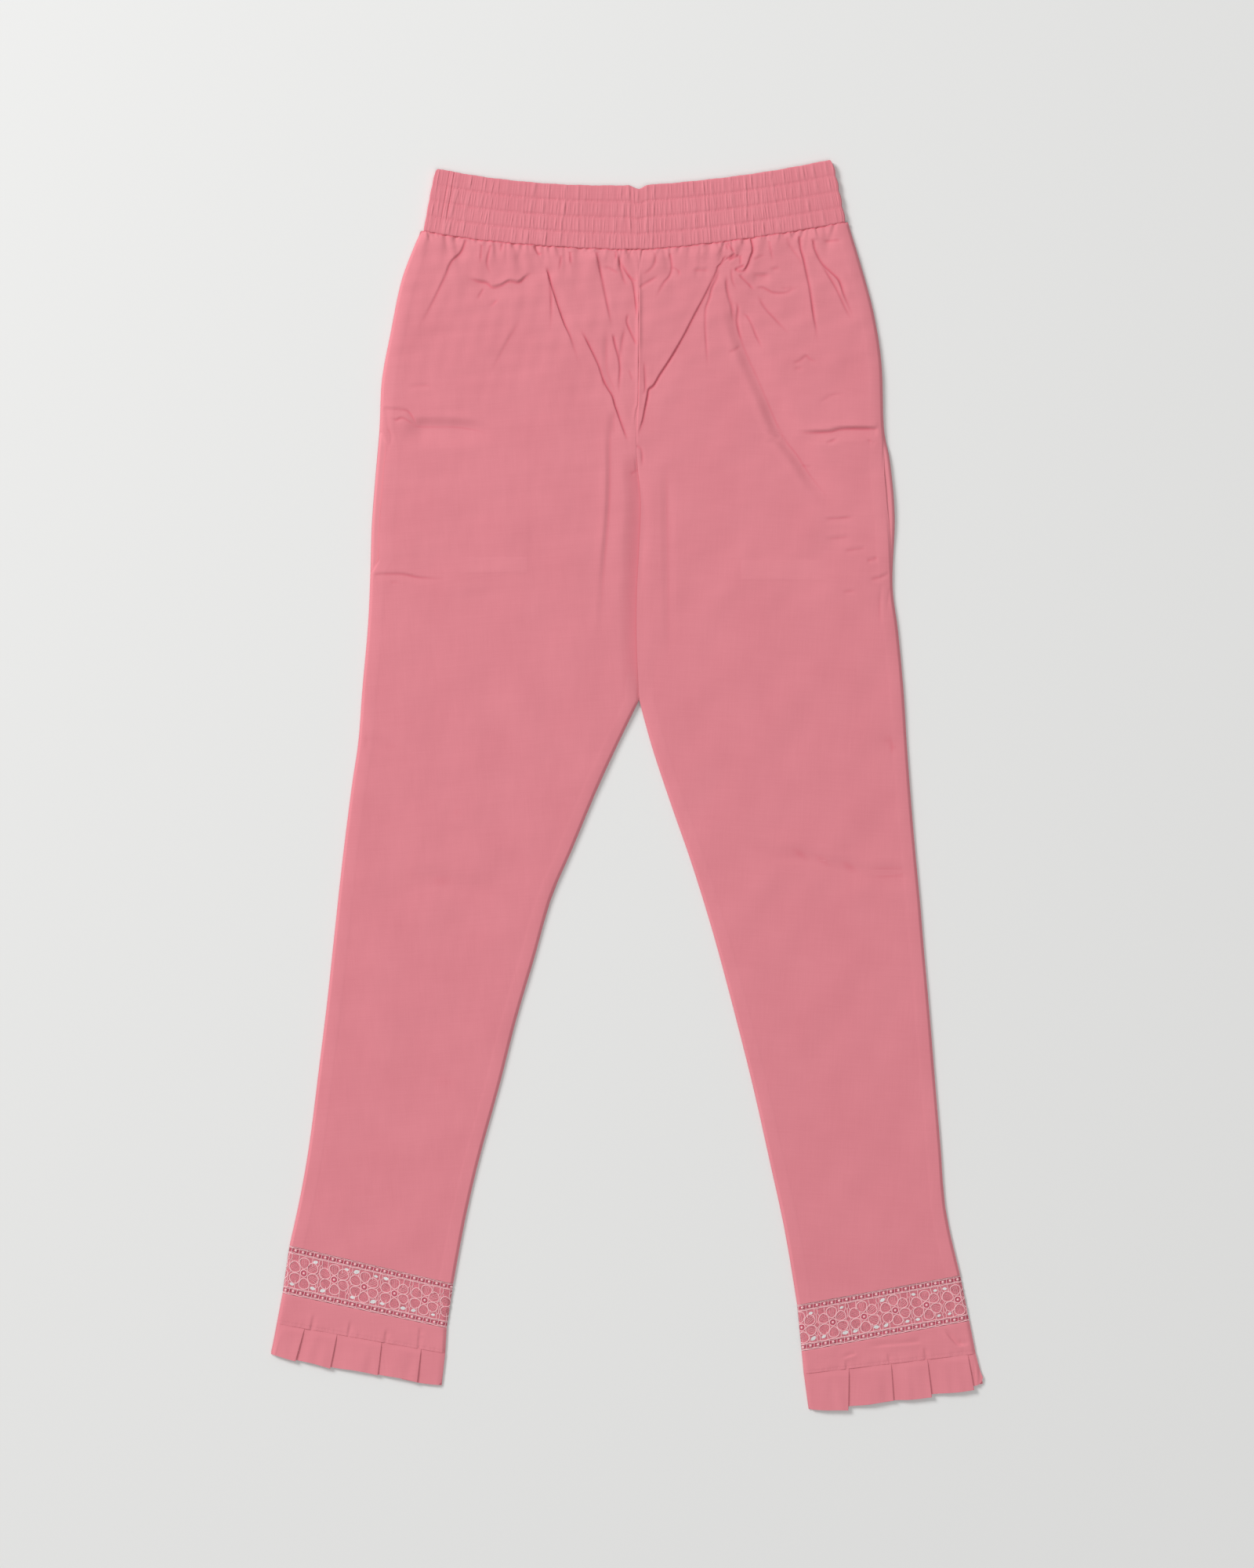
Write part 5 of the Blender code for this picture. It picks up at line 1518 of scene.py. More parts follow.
def add_puckers(total, puckers, s, v):
    """Adds ridges across the band to a grid with rows at v and columns at s."""
    for place, width, lean, height, strengths in puckers:
        near = np.flatnonzero(np.abs(s - place) < 4 * width + PUCKER_CLEAR)
        if not len(near):
            continue
        strength = height * np.interp(v * 2 * BAND_CHANNELS, np.arange(2 * BAND_CHANNELS + 1), strengths)
        offset = (s[near][None, :] - place - lean * (v[:, None] - 0.5)) / width
        steep = np.where(offset > 0, *PUCKER_STEEP)
        total[:, near] += strength[:, None] * np.exp(-(offset * steep) ** 2)


def band_surface(s, v, layer):
    """How far the band's outer face stands out: puckers that the rows of stitches pinch."""
    random = np.random.RandomState(BAND_SEED[layer])
    total = np.zeros((len(v), len(s)))
    add_puckers(total, pucker_set(random, BAND_PUCKERS, BAND_LENGTH, WIDE_PUCKER), s, v)
    total *= WIDE_SHARE
    from_end = np.minimum(s, BAND_LENGTH - s)
    middle = BAND_END_SHARE + (1 - BAND_END_SHARE) * smoothstep((from_end - BAND_END_CALM) / BAND_END_RISE)
    for channel, share in enumerate(FINE_SHARES):
        own = np.zeros_like(total)
        add_puckers(own, pucker_set(random, BAND_FINE_PUCKERS, BAND_LENGTH, FINE_PUCKER), s, v)
        inside = np.clip(v * BAND_CHANNELS - channel, 0, 1)
        total += share * own * np.sqrt(np.sin(math.pi * inside))[:, None] * middle
    knots = np.arange(0, BAND_LENGTH + DIMPLE_MARGIN, DIMPLE_PITCH)
    dimples = np.zeros_like(total)
    for row in range(1, BAND_CHANNELS):
        depth = np.interp(s, knots, random.uniform(0.0, 1.0, len(knots)))
        near_row = bell((v - row / BAND_CHANNELS) * BAND_HEIGHT, DIMPLE_WIDTH)
        dimples += near_row[:, None] * depth[None, :] * middle
    pinch = np.abs(np.sin(math.pi * BAND_CHANNELS * v))[:, None] ** 0.5
    puckered = PUCKER_SHARE * total * (PUCKER_AT_ROWS + (1 - PUCKER_AT_ROWS) * pinch)
    raised = CHANNEL_SHARE * pinch + puckered - DIMPLE_SHARE * dimples
    groove = bell(s - BAND_GROOVE_AT, BAND_GROOVE_WIDTH)
    groove += 0.5 * bell(s - BAND_GROOVE_AT + BAND_GROOVE_ASIDE, BAND_GROOVE_WIDTH)
    raised -= GROOVE_SHARE * groove * smoothstep((0.9 - v) / 0.2)[:, None]
    return BAND_PUFF * raised * smoothstep(from_end / BAND_END_FADE)


def band_places(part, v):
    """Places of the band at parts of its width from the -X end and v of its depth, with uneven edges."""
    stations = band_rows(part)
    x = stations[..., 0] + (stations[..., 2] - stations[..., 0]) * v
    y = stations[..., 1] + (stations[..., 3] - stations[..., 1]) * v
    from_end = np.minimum(part, 1 - part) * BAND_LENGTH
    corner = BAND_CORNER * (1 - quarter_round(from_end, BAND_CORNER))
    scallop = np.where(part < 0.5, *END_SCALLOPS) * (1 - np.abs(np.sin(math.pi * BAND_CHANNELS * v)))
    x = x + scallop * smoothstep(1 - from_end / END_SCALLOP_REACH)
    y = y - corner * (1 - v) ** 6 + seam_wobble(x) * v ** 8
    return x, y + sine_sum(x, TOP_EDGE_SINES) * (1 - v) ** 8


def band_down():
    """Rows down the band: even, with more where its edges round over."""
    rows = BAND_CHANNELS * BAND_ROWS_A_CHANNEL
    even = np.linspace(0, 1, rows + 1)
    edge = np.array(BAND_EDGE_ROWS)
    return np.concatenate([edge, even[1:-1], 1 - edge[::-1]])


def band_ring(radius, middle, top, bottom):
    """One wall of the band all round: parts of its width and heights, along the front, round and back."""
    end = BAND_OUTER / 2 / BAND_LENGTH
    front = np.linspace(end, 1 - end, BAND_FRONT_STEPS)
    back = np.linspace(1 - end, end, BAND_BACK_STEPS)
    turn = math.pi * np.arange(1, BAND_END_STEPS + 1) / (BAND_END_STEPS + 1)
    out = radius / BAND_LENGTH * np.sin(turn)
    rise = radius * np.cos(turn)
    parts = np.concatenate([front, 1 - end + out, back, end - out])
    heights = [np.full(len(front), top), middle + rise, np.full(len(back), bottom), middle - rise]
    return parts, np.concatenate(heights)


def make_waistband(material):
    radius = BAND_OUTER / 2
    inner_radius = BAND_INNER_GAP / 2
    outer_part, outer_z = band_ring(radius, radius, BAND_OUTER, 0.0)
    inner_part, inner_z = band_ring(
        inner_radius, BAND_BACK_WALL + inner_radius, BAND_BACK_WALL + BAND_INNER_GAP, BAND_BACK_WALL)
    front = slice(0, BAND_FRONT_STEPS)
    back = slice(BAND_FRONT_STEPS + BAND_END_STEPS, BAND_FRONT_STEPS + BAND_END_STEPS + BAND_BACK_STEPS)
    down = band_down()
    v, part = np.meshgrid(down, outer_part, indexing="ij")
    height = np.zeros_like(v)
    height[:, front] = band_surface(outer_part[front] * BAND_LENGTH, down, "front")
    pressed = np.minimum(band_surface(outer_part[back] * BAND_LENGTH, down, "back"), BAND_PUFF)
    height[:, back] = BAND_PRESSED * (BAND_PUFF - pressed)
    rounding = 1 - quarter_round(np.minimum(v, 1 - v) * BAND_HEIGHT, BAND_EDGE_ROUND)
    z = outer_z + height
    z = z - rounding * (z - radius) * BAND_ROUNDED
    outer = np.stack([*band_places(part, v), z], axis=2)
    inner_v, inner_part = np.meshgrid(BAND_INNER_ROWS, inner_part, indexing="ij")
    inner = np.stack([*band_places(inner_part, inner_v), inner_z * np.ones_like(inner_v)], axis=2)
    # Painted light and shade: the band's colour follows the height of its puckers
    tint = np.clip(BAND_PAINTED_SHADING * (height / BAND_PUFF - BAND_PAINTED_SHADING_LEVEL), *BAND_PAINTED_SHADING_RANGE)
    made = tube_object("waistband_cloth", outer, inner, material, tint)
    finish_piece(made, "waistband")


# Small shapes: stitches, cords and net


class Shapes:
    """Many small closed shapes, joined into one mesh, each with the number of its material."""

    def __init__(self):
        self.points = []
        self.faces = []
        self.slots = []
        self.count = 0

    def add(self, points, faces, slot):
        self.points.append(np.asarray(points, float))
        self.faces += [tuple(index + self.count for index in face) for face in faces]
        self.slots += [slot] * len(faces)
        self.count += len(points)

    def bead(self, path, radius, closed=False, sides=4):
        """A cord along a path that lies nearly level, half round above and flat below."""
        self.tube(path, radius, sides, closed, math.pi / (sides - 1))

    def tube(self, path, radius, sides=5, closed=False, turn=None, slot=CORD_SLOT):
        """A tube along a path that lies nearly level, capped unless it is closed on itself."""
        turn = 2 * math.pi / sides if turn is None else turn
        path = np.asarray(path, float)
        after = np.roll(path, -1, axis=0)
        before = np.roll(path, 1, axis=0)
        if not closed:
            after[-1], before[0] = path[-1], path[0]
        tangent = unit(after - before)
        aside = unit(np.stack([-tangent[:, 1], tangent[:, 0], np.zeros(len(path))], axis=1))
        up = np.cross(tangent, aside)
        radii = np.broadcast_to(radius, (len(path),))[:, None]
        rings = [
            path + radii * (math.cos(turn * corner) * aside + math.sin(turn * corner) * up)
            for corner in range(sides)
        ]
        points = np.stack(rings, axis=1).reshape(-1, 3)
        count = len(path)
        faces = []
        for step in range(count if closed else count - 1):
            here, ahead = step * sides, (step + 1) % count * sides
            for corner in range(sides):
                beside = (corner + 1) % sides
                faces.append((here + corner, here + beside, ahead + beside, ahead + corner))
        if not closed:
            faces.append(tuple(range(sides))[::-1])
            last = (count - 1) * sides
            faces.append(tuple(last + corner for corner in range(sides)))
        self.add(points, faces, slot)

    def plate(self, outline, thickness, crown, slot):
        """A thin plate inside a closed outline, its upper face slightly crowned."""
        outline = np.asarray(outline, float)
        count = len(outline)
        centre = outline.mean(axis=0)
        inner = centre + (outline - centre) * PLATE_INNER
        points = np.concatenate([
            outline, inner + (0, 0, crown), [centre + (0, 0, crown * PLATE_TOP)],
            outline - (0, 0, thickness), [centre - (0, 0, thickness)],
        ])
        faces = []
        middle, lower, bottom = 2 * count, 2 * count + 1, 3 * count + 1
        for step in range(count):
            ahead = (step + 1) % count
            faces.append((step, ahead, count + ahead, count + step))
            faces.append((count + step, count + ahead, middle))
            faces.append((ahead, step, lower + step, lower + ahead))
            faces.append((lower + ahead, lower + step, bottom))
        self.add(points, faces, slot)

    def knot(self, centre, radius, height):
        """A low round knot of cord."""
        sides = KNOT_SIDES
        centre = np.asarray(centre, float)
        rings = []
        for share, lift in KNOT_RINGS:
            for corner in range(sides):
                angle = 2 * math.pi * corner / sides
                out = radius * share
                rings.append(centre + (out * math.cos(angle), out * math.sin(angle), height * lift))
        points = np.array(rings + [centre + (0, 0, height)])
        faces = [tuple(range(sides))[::-1]]
        for ring in range(2):
            for corner in range(sides):
                beside = (corner + 1) % sides
                first, second = ring * sides, (ring + 1) * sides
                faces.append((first + corner, first + beside, second + beside, second + corner))
        for corner in range(sides):
            faces.append((2 * sides + corner, 2 * sides + (corner + 1) % sides, 3 * sides))
        self.add(points, faces, CORD_SLOT)

    def object(self, name, materials, transform=None):
        points = np.concatenate(self.points)
        if transform is not None:
            points = transform(points)
        return add_object(name, points, self.faces, materials, self.slots, sharp_angle=SHAPE_SHARP)


def resample(path, step):
    """Points at even steps along a path."""
    lengths = np.concatenate([[0.0], np.cumsum(np.linalg.norm(path[1:] - path[:-1], axis=1))])
    count = max(int(lengths[-1] / step), 2)
    wanted = np.linspace(0, lengths[-1], count + 1)
    return np.stack([np.interp(wanted, lengths, path[:, axis]) for axis in range(path.shape[1])], axis=1)


def stitch_row(shapes, path, pitch, radius):
    """A row of single stitches on a path that follows the cloth, each end dipping into it."""
    fine = resample(np.asarray(path, float), pitch / STITCH_STEPS)
    for start in range(0, len(fine) - STITCH_STEPS, STITCH_STEPS):
        stitch = fine[start:start + STITCH_STEPS // 2 + 1].copy()
        stitch[[0, -1], 2] -= radius * STITCH_END_DIP
        shapes.tube(stitch, radius)


# Waistband stitching


def make_band_stitches(material):
    """The three rows that hold the elastic, on the puckered front of the band."""
    shapes = Shapes()
    part = np.linspace(BAND_STITCH_FROM_END, 1 - BAND_STITCH_FROM_END, BAND_FRONT_STEPS)
    for row in range(1, BAND_CHANNELS):
        v = row / BAND_CHANNELS
        x, y = band_places(part, v)
        y = y + BAND_STITCH_WOBBLE[0] * np.sin(part * BAND_STITCH_WOBBLE[1] + row)
        z = BAND_OUTER + band_surface(part * BAND_LENGTH, np.array([v]), "front")[0]
        stitch_row(shapes, np.stack([x, y, z], axis=1), *BAND_STITCH)
    finish_piece(shapes.object("band_stitches", [material]))


def path_on_grid(grid, x, y):
    """A path at X and Y, lifted onto a grid of places by its nearest points."""
    flat = grid.reshape(-1, 3)
    nearest = [np.argmin((flat[:, 0] - px) ** 2 + (flat[:, 1] - py) ** 2) for px, py in zip(x, y)]
    z = flat[nearest, 2]
    z = np.convolve(np.concatenate([z[:1], z, z[-1:]]), np.ones(3) / 3, mode="valid")
    return np.stack([x, y, z], axis=1)


# Leg ends: lace, cuff and ruffle


def strip_places(side, strip, along, down):
    """Places of a strip across the leg end: parts along from its -X end and down from its upper seam."""
    part = np.asarray(along) if side == "right" else 1 - np.asarray(along)
    upper, lower = (
        (row.outer_x + (row.inner_x - row.outer_x) * part, row.outer_y + (row.inner_y - row.outer_y) * part)
        for row in LEG_ENDS[side][strip:strip + 2]
    )
    return [high + (low - high) * np.asarray(down) for high, low in zip(upper, lower)]


def strip_size(side, strip):
    """Length and height of a strip, along its middle lines."""
    ends = np.array([0.0, 1.0])
    lines = (strip_places(side, strip, ends, 0.5), strip_places(side, strip, 0.5, ends))
    return [float(np.hypot(x[1] - x[0], y[1] - y[0])) for x, y in lines]


def make_cuff(side, layer, material):
    length, height = strip_size(side, CUFF)
    down, along = np.meshgrid(np.linspace(0, 1, CUFF_ROWS), np.linspace(0, 1, STRIP_COLUMNS), indexing="ij")
    x, y = strip_places(side, CUFF, along, down)
    s, t = along * length, down * height
    waves = ripple(s, t, CUFF_WAVES, side)
    lines = [Crease(side, *CUFF_CREASE, points) for points in CUFF_CREASES[side]]
    folds = crease_field(lines, side, s, t).height
    from_end = np.minimum(s, length - s)
    ends = smoothstep(from_end / CUFF_END_FADE)
    if layer == "front":
        knots = np.arange(0, length + TUG_MARGIN, TUG_PITCH)
        tugs = np.interp(s, knots, np.random.RandomState(TUG_SEED).uniform(-1, 1, len(knots)))
        from_row = t - height + STITCH_ROW_FROM_SEAM
        z = LACE_REST + CUFF_REST + (CUFF_LOFT + waves + folds) * ends
        z -= CUFF_SEAM_DIP * smoothstep(1 - np.minimum(t, height - t) / CUFF_SEAM_WIDTH)
        z -= CUFF_DROP * edge_drop(from_end)
        z += TUG_HEIGHT * tugs * bell(from_row, TUG_WIDTH) - STITCH_DIP * bell(from_row, STITCH_DIP_WIDTH)
        top = np.stack([x, y, z], axis=2)
        under = top - grid_normals(top) * SHELL
    else:
        lift = np.clip(CUFF_BACK_LIFT + waves - 0.5 * folds, 0.0, CUFF_BACK_MOST) * ends
        top = np.stack([x, y, lift + BACK_TOP], axis=2)
        under = np.stack([x, y, lift], axis=2)
    made = cloth_piece(f"cuff_{layer}_{side}", top, under, material, np.full(x.shape, TRIM_TINT))
    return top


def pleat_path(folds, pleats, width):
    """The ruffle's middle line from -X to +X: distance, height and hem drop of a fixed number of points."""
    top = 2 * PLEAT_RISE
    turn = PLEAT_RISE / 2
    path = [(0.0, 0.0, pleats[0].start)]
    after = [pleat.start for pleat in pleats[1:]] + [LAST_HEM_DROP]
    for fold, pleat, next_drop in zip(folds, pleats, after):
        last, start_height = path[-1][:2]
        fall = pleat.drop - pleat.start
        behind = fold - PLEAT_DEPTH
        rise_end = max(behind - RISE_END, last + SHORTEST_RISE)
        for share in RISE_SHARES:
            x = last + (rise_end - last) * share
            height = start_height + (top - start_height) * smoothstep(share)
            path.append((x, height, pleat.start + fall * (x - last) / (fold - last)))
        for share in TOP_SHARES:
            x = rise_end + (fold - turn - rise_end) * share
            path.append((x, top, pleat.start + fall * (x - last) / (fold - last)))
        for angle in TURN_ANGLES:
            height = top - turn + turn * math.cos(angle)
            path.append((fold - turn + turn * math.sin(angle), height, pleat.drop))
        for angle in TURN_ANGLES:
            path.append((behind + turn - turn * math.sin(angle), turn + turn * math.cos(angle), next_drop))
        for share in FLAT_SHARES:
            path.append((behind + turn + (fold + RISE_START - behind - turn) * share, 0.0, next_drop))
    last = path[-1][0]
    for share in END_SHARES:
        path.append((last + (width - last) * share, 0.0, after[-1] * (1 - share)))
    return np.array(path)


def offset_path(path, distance):
    """The path moved sideways by a distance in its own plane."""
    step = unit(np.diff(path[:, :2], axis=0))
    tangent = unit(np.concatenate([step[:1], step]) + np.concatenate([step, step[-1:]]))
    moved = path.copy()
    moved[:, 0] -= tangent[:, 1] * distance
    moved[:, 1] += tangent[:, 0] * distance
    return moved


def ruffle_row(side, down, phase):
    """One row of the ruffle: the places of its upper and lower face, and the length of its cloth."""
    x, y = strip_places(side, RUFFLE, np.array([0.0, 1.0]), down)
    width = float(np.hypot(x[1] - x[0], y[1] - y[0]))
    folds = [(pleat.seam + (pleat.hem - pleat.seam) * down) * width for pleat in PLEATS[side]]
    path = pleat_path(folds, PLEATS[side], width)
    cut = float(np.hypot(*np.diff(path[:, :2], axis=0).T).sum())
    free = smoothstep(down * FREE_BY)
    wave = PLEAT_WAVE[0] * np.sin(path[:, 0] * PLEAT_WAVE[1] + phase[0] + 2 * down)
    wave += PLEAT_SMALL_WAVE[0] * np.sin(path[:, 0] * PLEAT_SMALL_WAVE[1] + phase[1])
    on_top = path[:, 1] > PLEAT_ON_TOP
    path[:, 1] += wave * free * on_top + PLEAT_LOFT * free * smoothstep(path[:, 1] / PLEAT_LOFT_FROM)
    path[:, 1] *= PRESSED_SHARE + (1 - PRESSED_SHARE) * smoothstep(down / PRESSED_DEPTH)
    faces = []
    for offset in (RUFFLE_SHELL / 2, -RUFFLE_SHELL / 2):
        s, height, drop = offset_path(path, offset).T
        x, y = strip_places(side, RUFFLE, s / width, down)
        from_end = np.clip(np.minimum(s, width - s), 0.0, None)
        corner = np.where(s > width / 2, RUFFLE_CORNERS[side][1], RUFFLE_CORNERS[side][0])
        hem = HEM_WAVE[0] * np.sin(s * HEM_WAVE[1] + phase[2]) * down ** 3
        hem += corner * (1 - quarter_round(from_end, corner)) * down ** 3
        # Past its last pleat the left ruffle is crumpled
        last = smoothstep((s - folds[-1] - CRUMPLE_FROM_PLEAT) / CRUMPLE_RISE) * free
        crumple = CRUMPLE_WAVE[0] * last * np.sin(s * CRUMPLE_WAVE[1] + 5 * down) * (side == "left")
        z = RUFFLE_CENTRE + height + crumple - RUFFLE_DROP * edge_drop(from_end)
        faces.append(np.stack([x, y - drop * down + hem, z], axis=1))
    return *faces, cut


def make_front_ruffle(side, material):
    phase = np.random.RandomState(RUFFLE_SEED[side]).uniform(0, 6.28, 3)
    upper, lower, cuts = zip(*(ruffle_row(side, down, phase) for down in RUFFLE_ROWS))
    upper, lower = np.array(upper), np.array(lower)
    tint = np.full(upper.shape[:2], TRIM_TINT)
    made = cloth_piece(f"ruffle_front_{side}", upper, lower, material, tint)


def make_back_ruffle(side, material):
    """The ruffle's back half, its pleats pressed flat against the floor as shallow steps."""
    length, height = strip_size(side, RUFFLE)
    down, along = np.meshgrid(BACK_RUFFLE_ROWS, np.linspace(0, 1, STRIP_COLUMNS), indexing="ij")
    x, y = strip_places(side, RUFFLE, along, down)
    steps = np.zeros_like(x)
    for pleat in PLEATS[side]:
        fold = 1 - (pleat.seam + (pleat.hem - pleat.seam) * down)
        past = (along - fold) * length
        steps += BACK_STEP * smoothstep(past / BACK_STEP_WIDTH + 0.5) * smoothstep(1 - past / BACK_STEP_FADE)
    top = np.stack([x, y, np.full(x.shape, BACK_RUFFLE_TOP)], axis=2)
    under = np.stack([x, y, steps], axis=2)
    made = cloth_piece(f"ruffle_back_{side}", top, under, material, np.full(x.shape, TRIM_TINT))


def make_cuff_stitches(grids, material):
    """The topstitching just above the ruffle seam."""
    shapes = Shapes()
    for side, grid in grids.items():
        down = 1 - STITCH_ROW_FROM_SEAM / strip_size(side, CUFF)[1]
        x, y = strip_places(side, CUFF, CUFF_STITCH_PARTS, down)
        stitch_row(shapes, path_on_grid(grid, x, y) + (0, 0, CUFF_STITCH_LIFT), *CUFF_STITCH)
    finish_piece(shapes.object("cuff_stitches", [material]))


def flower_place(centre, angle, out, aside, z):
    """Places out from a flower's middle in a direction, and aside from that line."""
    x = centre[0] + out * math.cos(angle) - aside * math.sin(angle)
    y = centre[1] + out * math.sin(angle) + aside * math.cos(angle)
    return np.stack([x, y, np.full(len(out), z)], axis=1)


def full_turn(count):
    return np.linspace(0, 2 * math.pi, count, endpoint=False)


def add_flower(shapes, s, random):
    """Six egg-shaped petals of cord with a few threads in each, round a ring with a knot in it."""
    turned = random.uniform(*FLOWER_TURN)
    centre = (s, random.uniform(-FLOWER_WANDER, FLOWER_WANDER))
    turn = full_turn(CURVE_STEPS)
    for petal in range(PETALS):
        angle = math.radians(30 + 360 / PETALS * petal) + turned + random.uniform(-PETAL_TURN, PETAL_TURN)
        size = random.uniform(*PETAL_SIZE)
        out = PETAL_REACH * size + PETAL_HALF_LENGTH * size * np.cos(turn)
        aside = PETAL_HALF_WIDTH * size * np.sin(turn) * (1 + PETAL_EGG * np.cos(turn))
        shapes.bead(flower_place(centre, angle, out, aside, 0.0), CORD_RADIUS, closed=True)
        for offset in PETAL_THREADS_AT:
            reach = PETAL_THREAD_REACH
            spread = offset * (1 - 0.35 * reach ** 2) * (1 + 0.25 * reach)
            out = (PETAL_REACH + PETAL_HALF_LENGTH * reach) * size
            thread = flower_place(centre, angle, out, spread, PETAL_THREAD_LEVEL)
            shapes.tube(thread, PETAL_THREAD, sides=3)
    ring = np.stack([RING_RADIUS * np.cos(turn), RING_RADIUS * np.sin(turn), 0 * turn], axis=1)
    ring += (*centre, 0.0)
    shapes.plate(ring + (0, 0, NET_THICK), RING_FACE, 0.0, RAIL_SLOT)
    shapes.bead(ring, RING_CORD, closed=True)
    shapes.knot((*centre, RING_FACE), *FLOWER_KNOT)


def add_between(shapes, s):
    """The cords between two flowers: a diamond in the middle, and a leaf beside each rail."""
    wide, tall = DIAMOND
    shapes.bead([(s - wide, 0, 0), (s, -tall, 0), (s + wide, 0, 0), (s, tall, 0)], LEAF_CORD, closed=True)
    for sign in (-1, 1):
        low, mid, high = LEAF_BOTTOM * sign, LEAF_MIDDLE * sign, LEAF_TOP * sign
        leaf = (
            (s, low, 0), (s + LEAF_HALF_WIDTH, mid, 0), (s + LEAF_HALF_TOP, high, 0),
            (s - LEAF_HALF_TOP, high, 0), (s - LEAF_HALF_WIDTH, mid, 0),
        )
        shapes.bead(leaf, LEAF_CORD, closed=True)
        shapes.bead([(s, tall * sign, 0), (s, low, 0)], BRIDE_CORD)


def add_windows(shapes, side, length):
    """The small openings beside the petals' tips, each filled with a near white plate of painted light
    that stands for the lit floor seen through it.
    """
    random = np.random.RandomState(WINDOW_SEED[side])
    flowers = FLOWERS[side]
    turn = full_turn(WINDOW_STEPS)
    for gap in range(-1, flowers.count + 1):
        for sign, aside in ((-1, -WINDOW_ASIDE), (-1, WINDOW_ASIDE), (1, -WINDOW_ASIDE), (1, WINDOW_ASIDE)):
            size = random.uniform(*WINDOW_SIZE)
            tilt = random.uniform(-WINDOW_TILT, WINDOW_TILT)
            opened = random.uniform(0, 1) < WINDOW_CHANCE[sign]
            s = flowers.first + (gap + 0.5) * flowers.pitch + aside
            s += random.uniform(-WINDOW_WANDER, WINDOW_WANDER)
            if not opened or s < WINDOW_FROM_END or s > length - WINDOW_FROM_END:
                continue
            x = WINDOW_HALF_WIDTH * size * np.cos(turn) * (1 + 0.2 * np.sin(2 * turn))
            y = WINDOW_HALF_HEIGHT * size * np.sin(turn)
            places = (s + x - tilt * y, sign * WINDOW_OUT + y + tilt * x, np.full(WINDOW_STEPS, WINDOW_LEVEL))
            # Painted light: a pale plate in place of the lit floor seen through the opening
            shapes.plate(np.stack(places, axis=1), WINDOW_THICK, WINDOW_CROWN, LIT_FLOOR_SLOT)


def add_strip(shapes, length, low, high, z, slot):
    """A thin strip of net along the lace, with more steps where it turns down at its ends."""
    near = np.linspace(0, EDGE_DROP_WIDTH, 5)
    even = np.linspace(LACE_MARGIN, length - LACE_MARGIN, STRIP_STEPS)
    s = np.concatenate([[-STRIP_PAST_END], near, even, length - near[::-1], [length + STRIP_PAST_END]])
    columns = len(s)
    top = np.stack([*np.meshgrid(s, [low, high]), np.full((2, columns), z)], axis=2).reshape(-1, 3)
    faces = [
        *grid_faces(2, columns, flip=True),
        *grid_faces(2, columns, 2 * columns),
        *wall_faces(border_loop(2, columns)[::-1], border_loop(2, columns, 2 * columns)[::-1]),
    ]
    shapes.add(np.concatenate([top, top - (0, 0, NET_THICK)]), faces, slot)


def add_brides(shapes, s, random):
    """Short cords that tie a flower to the rails and to its neighbours."""
    for sign in (-1, 1):
        for aside in (-BRIDE_ASIDE, BRIDE_ASIDE):
            lean = random.uniform(-BRIDE_LEAN, BRIDE_LEAN)
            to_rail = (
                (s + aside, BRIDE_START * sign, 0.0), (s + aside + lean, BRIDE_MIDDLE * sign, 0.0),
                (s + aside + 2 * lean, INNER_CORD * sign, 0.0),
            )
            shapes.bead(to_rail, BRIDE_CORD)
            shapes.bead([(s + aside * out, y * sign, 0.0) for out, y in SHORT_BRIDE], SHORT_BRIDE_CORD)


def add_rails(shapes, length, random):
    """Along each edge of the lace: wavy cords, a strip of net between them, and knots and bars on it."""
    s = np.linspace(-LACE_MARGIN, length + LACE_MARGIN, RAIL_STEPS)
    half = RAIL_NET_HALF
    for sign in (-1, 1):
        for place, radius in RAIL_CORDS:
            wavy = sign * place + RAIL_WAVE[0] * np.sin(s * RAIL_WAVE[1] + random.uniform(0, 6))
            shapes.bead(np.stack([s, wavy, np.zeros_like(s)], axis=1), radius)
        middle = sign * (OUTER_CORD + INNER_CORD) / 2
        add_strip(shapes, length, middle - half, middle + half, RAIL_NET_LEVEL, RAIL_SLOT)
        knot = random.uniform(0, RAIL_KNOT_PITCH) - LACE_MARGIN
        while knot < length + LACE_MARGIN:
            shapes.knot((knot, middle + random.uniform(-KNOT_WANDER, KNOT_WANDER), 0.0), *RAIL_KNOT)
            bar = knot + RAIL_KNOT_PITCH / 2
            lean = RAIL_BAR_LEAN
            shapes.bead([(bar - lean, middle - half, 0.0), (bar + lean, middle + half, 0.0)], RAIL_BAR)
            knot += RAIL_KNOT_PITCH


def cut_ends(made, side):
    """Cuts the lace along both edges of the leg, and closes the cut shapes."""
    bm = bmesh.new()
    bm.from_mesh(made.data)
    for along, outward in ((0.0, -1), (1.0, 1)):
        x, y = strip_places(side, LACE, along, np.array([0.0, 1.0]))
        edge = np.array([x[1] - x[0], y[1] - y[0]])
        normal = np.array([-edge[1], edge[0]]) / np.hypot(*edge)
        normal = normal if normal[0] * outward > 0 else -normal
        bmesh.ops.bisect_plane(
            bm, geom=bm.verts[:] + bm.edges[:] + bm.faces[:], dist=1e-7,
            plane_co=(x[0], y[0], 0), plane_no=(*normal, 0), clear_outer=True)
        bmesh.ops.holes_fill(bm, edges=[edge for edge in bm.edges if edge.is_boundary], sides=0)
    bmesh.ops.recalc_face_normals(bm, faces=bm.faces)
    bm.to_mesh(made.data)
    bm.free()
    made.data.shade_smooth()
    made.data.set_sharp_from_angle(angle=math.radians(SHAPE_SHARP))


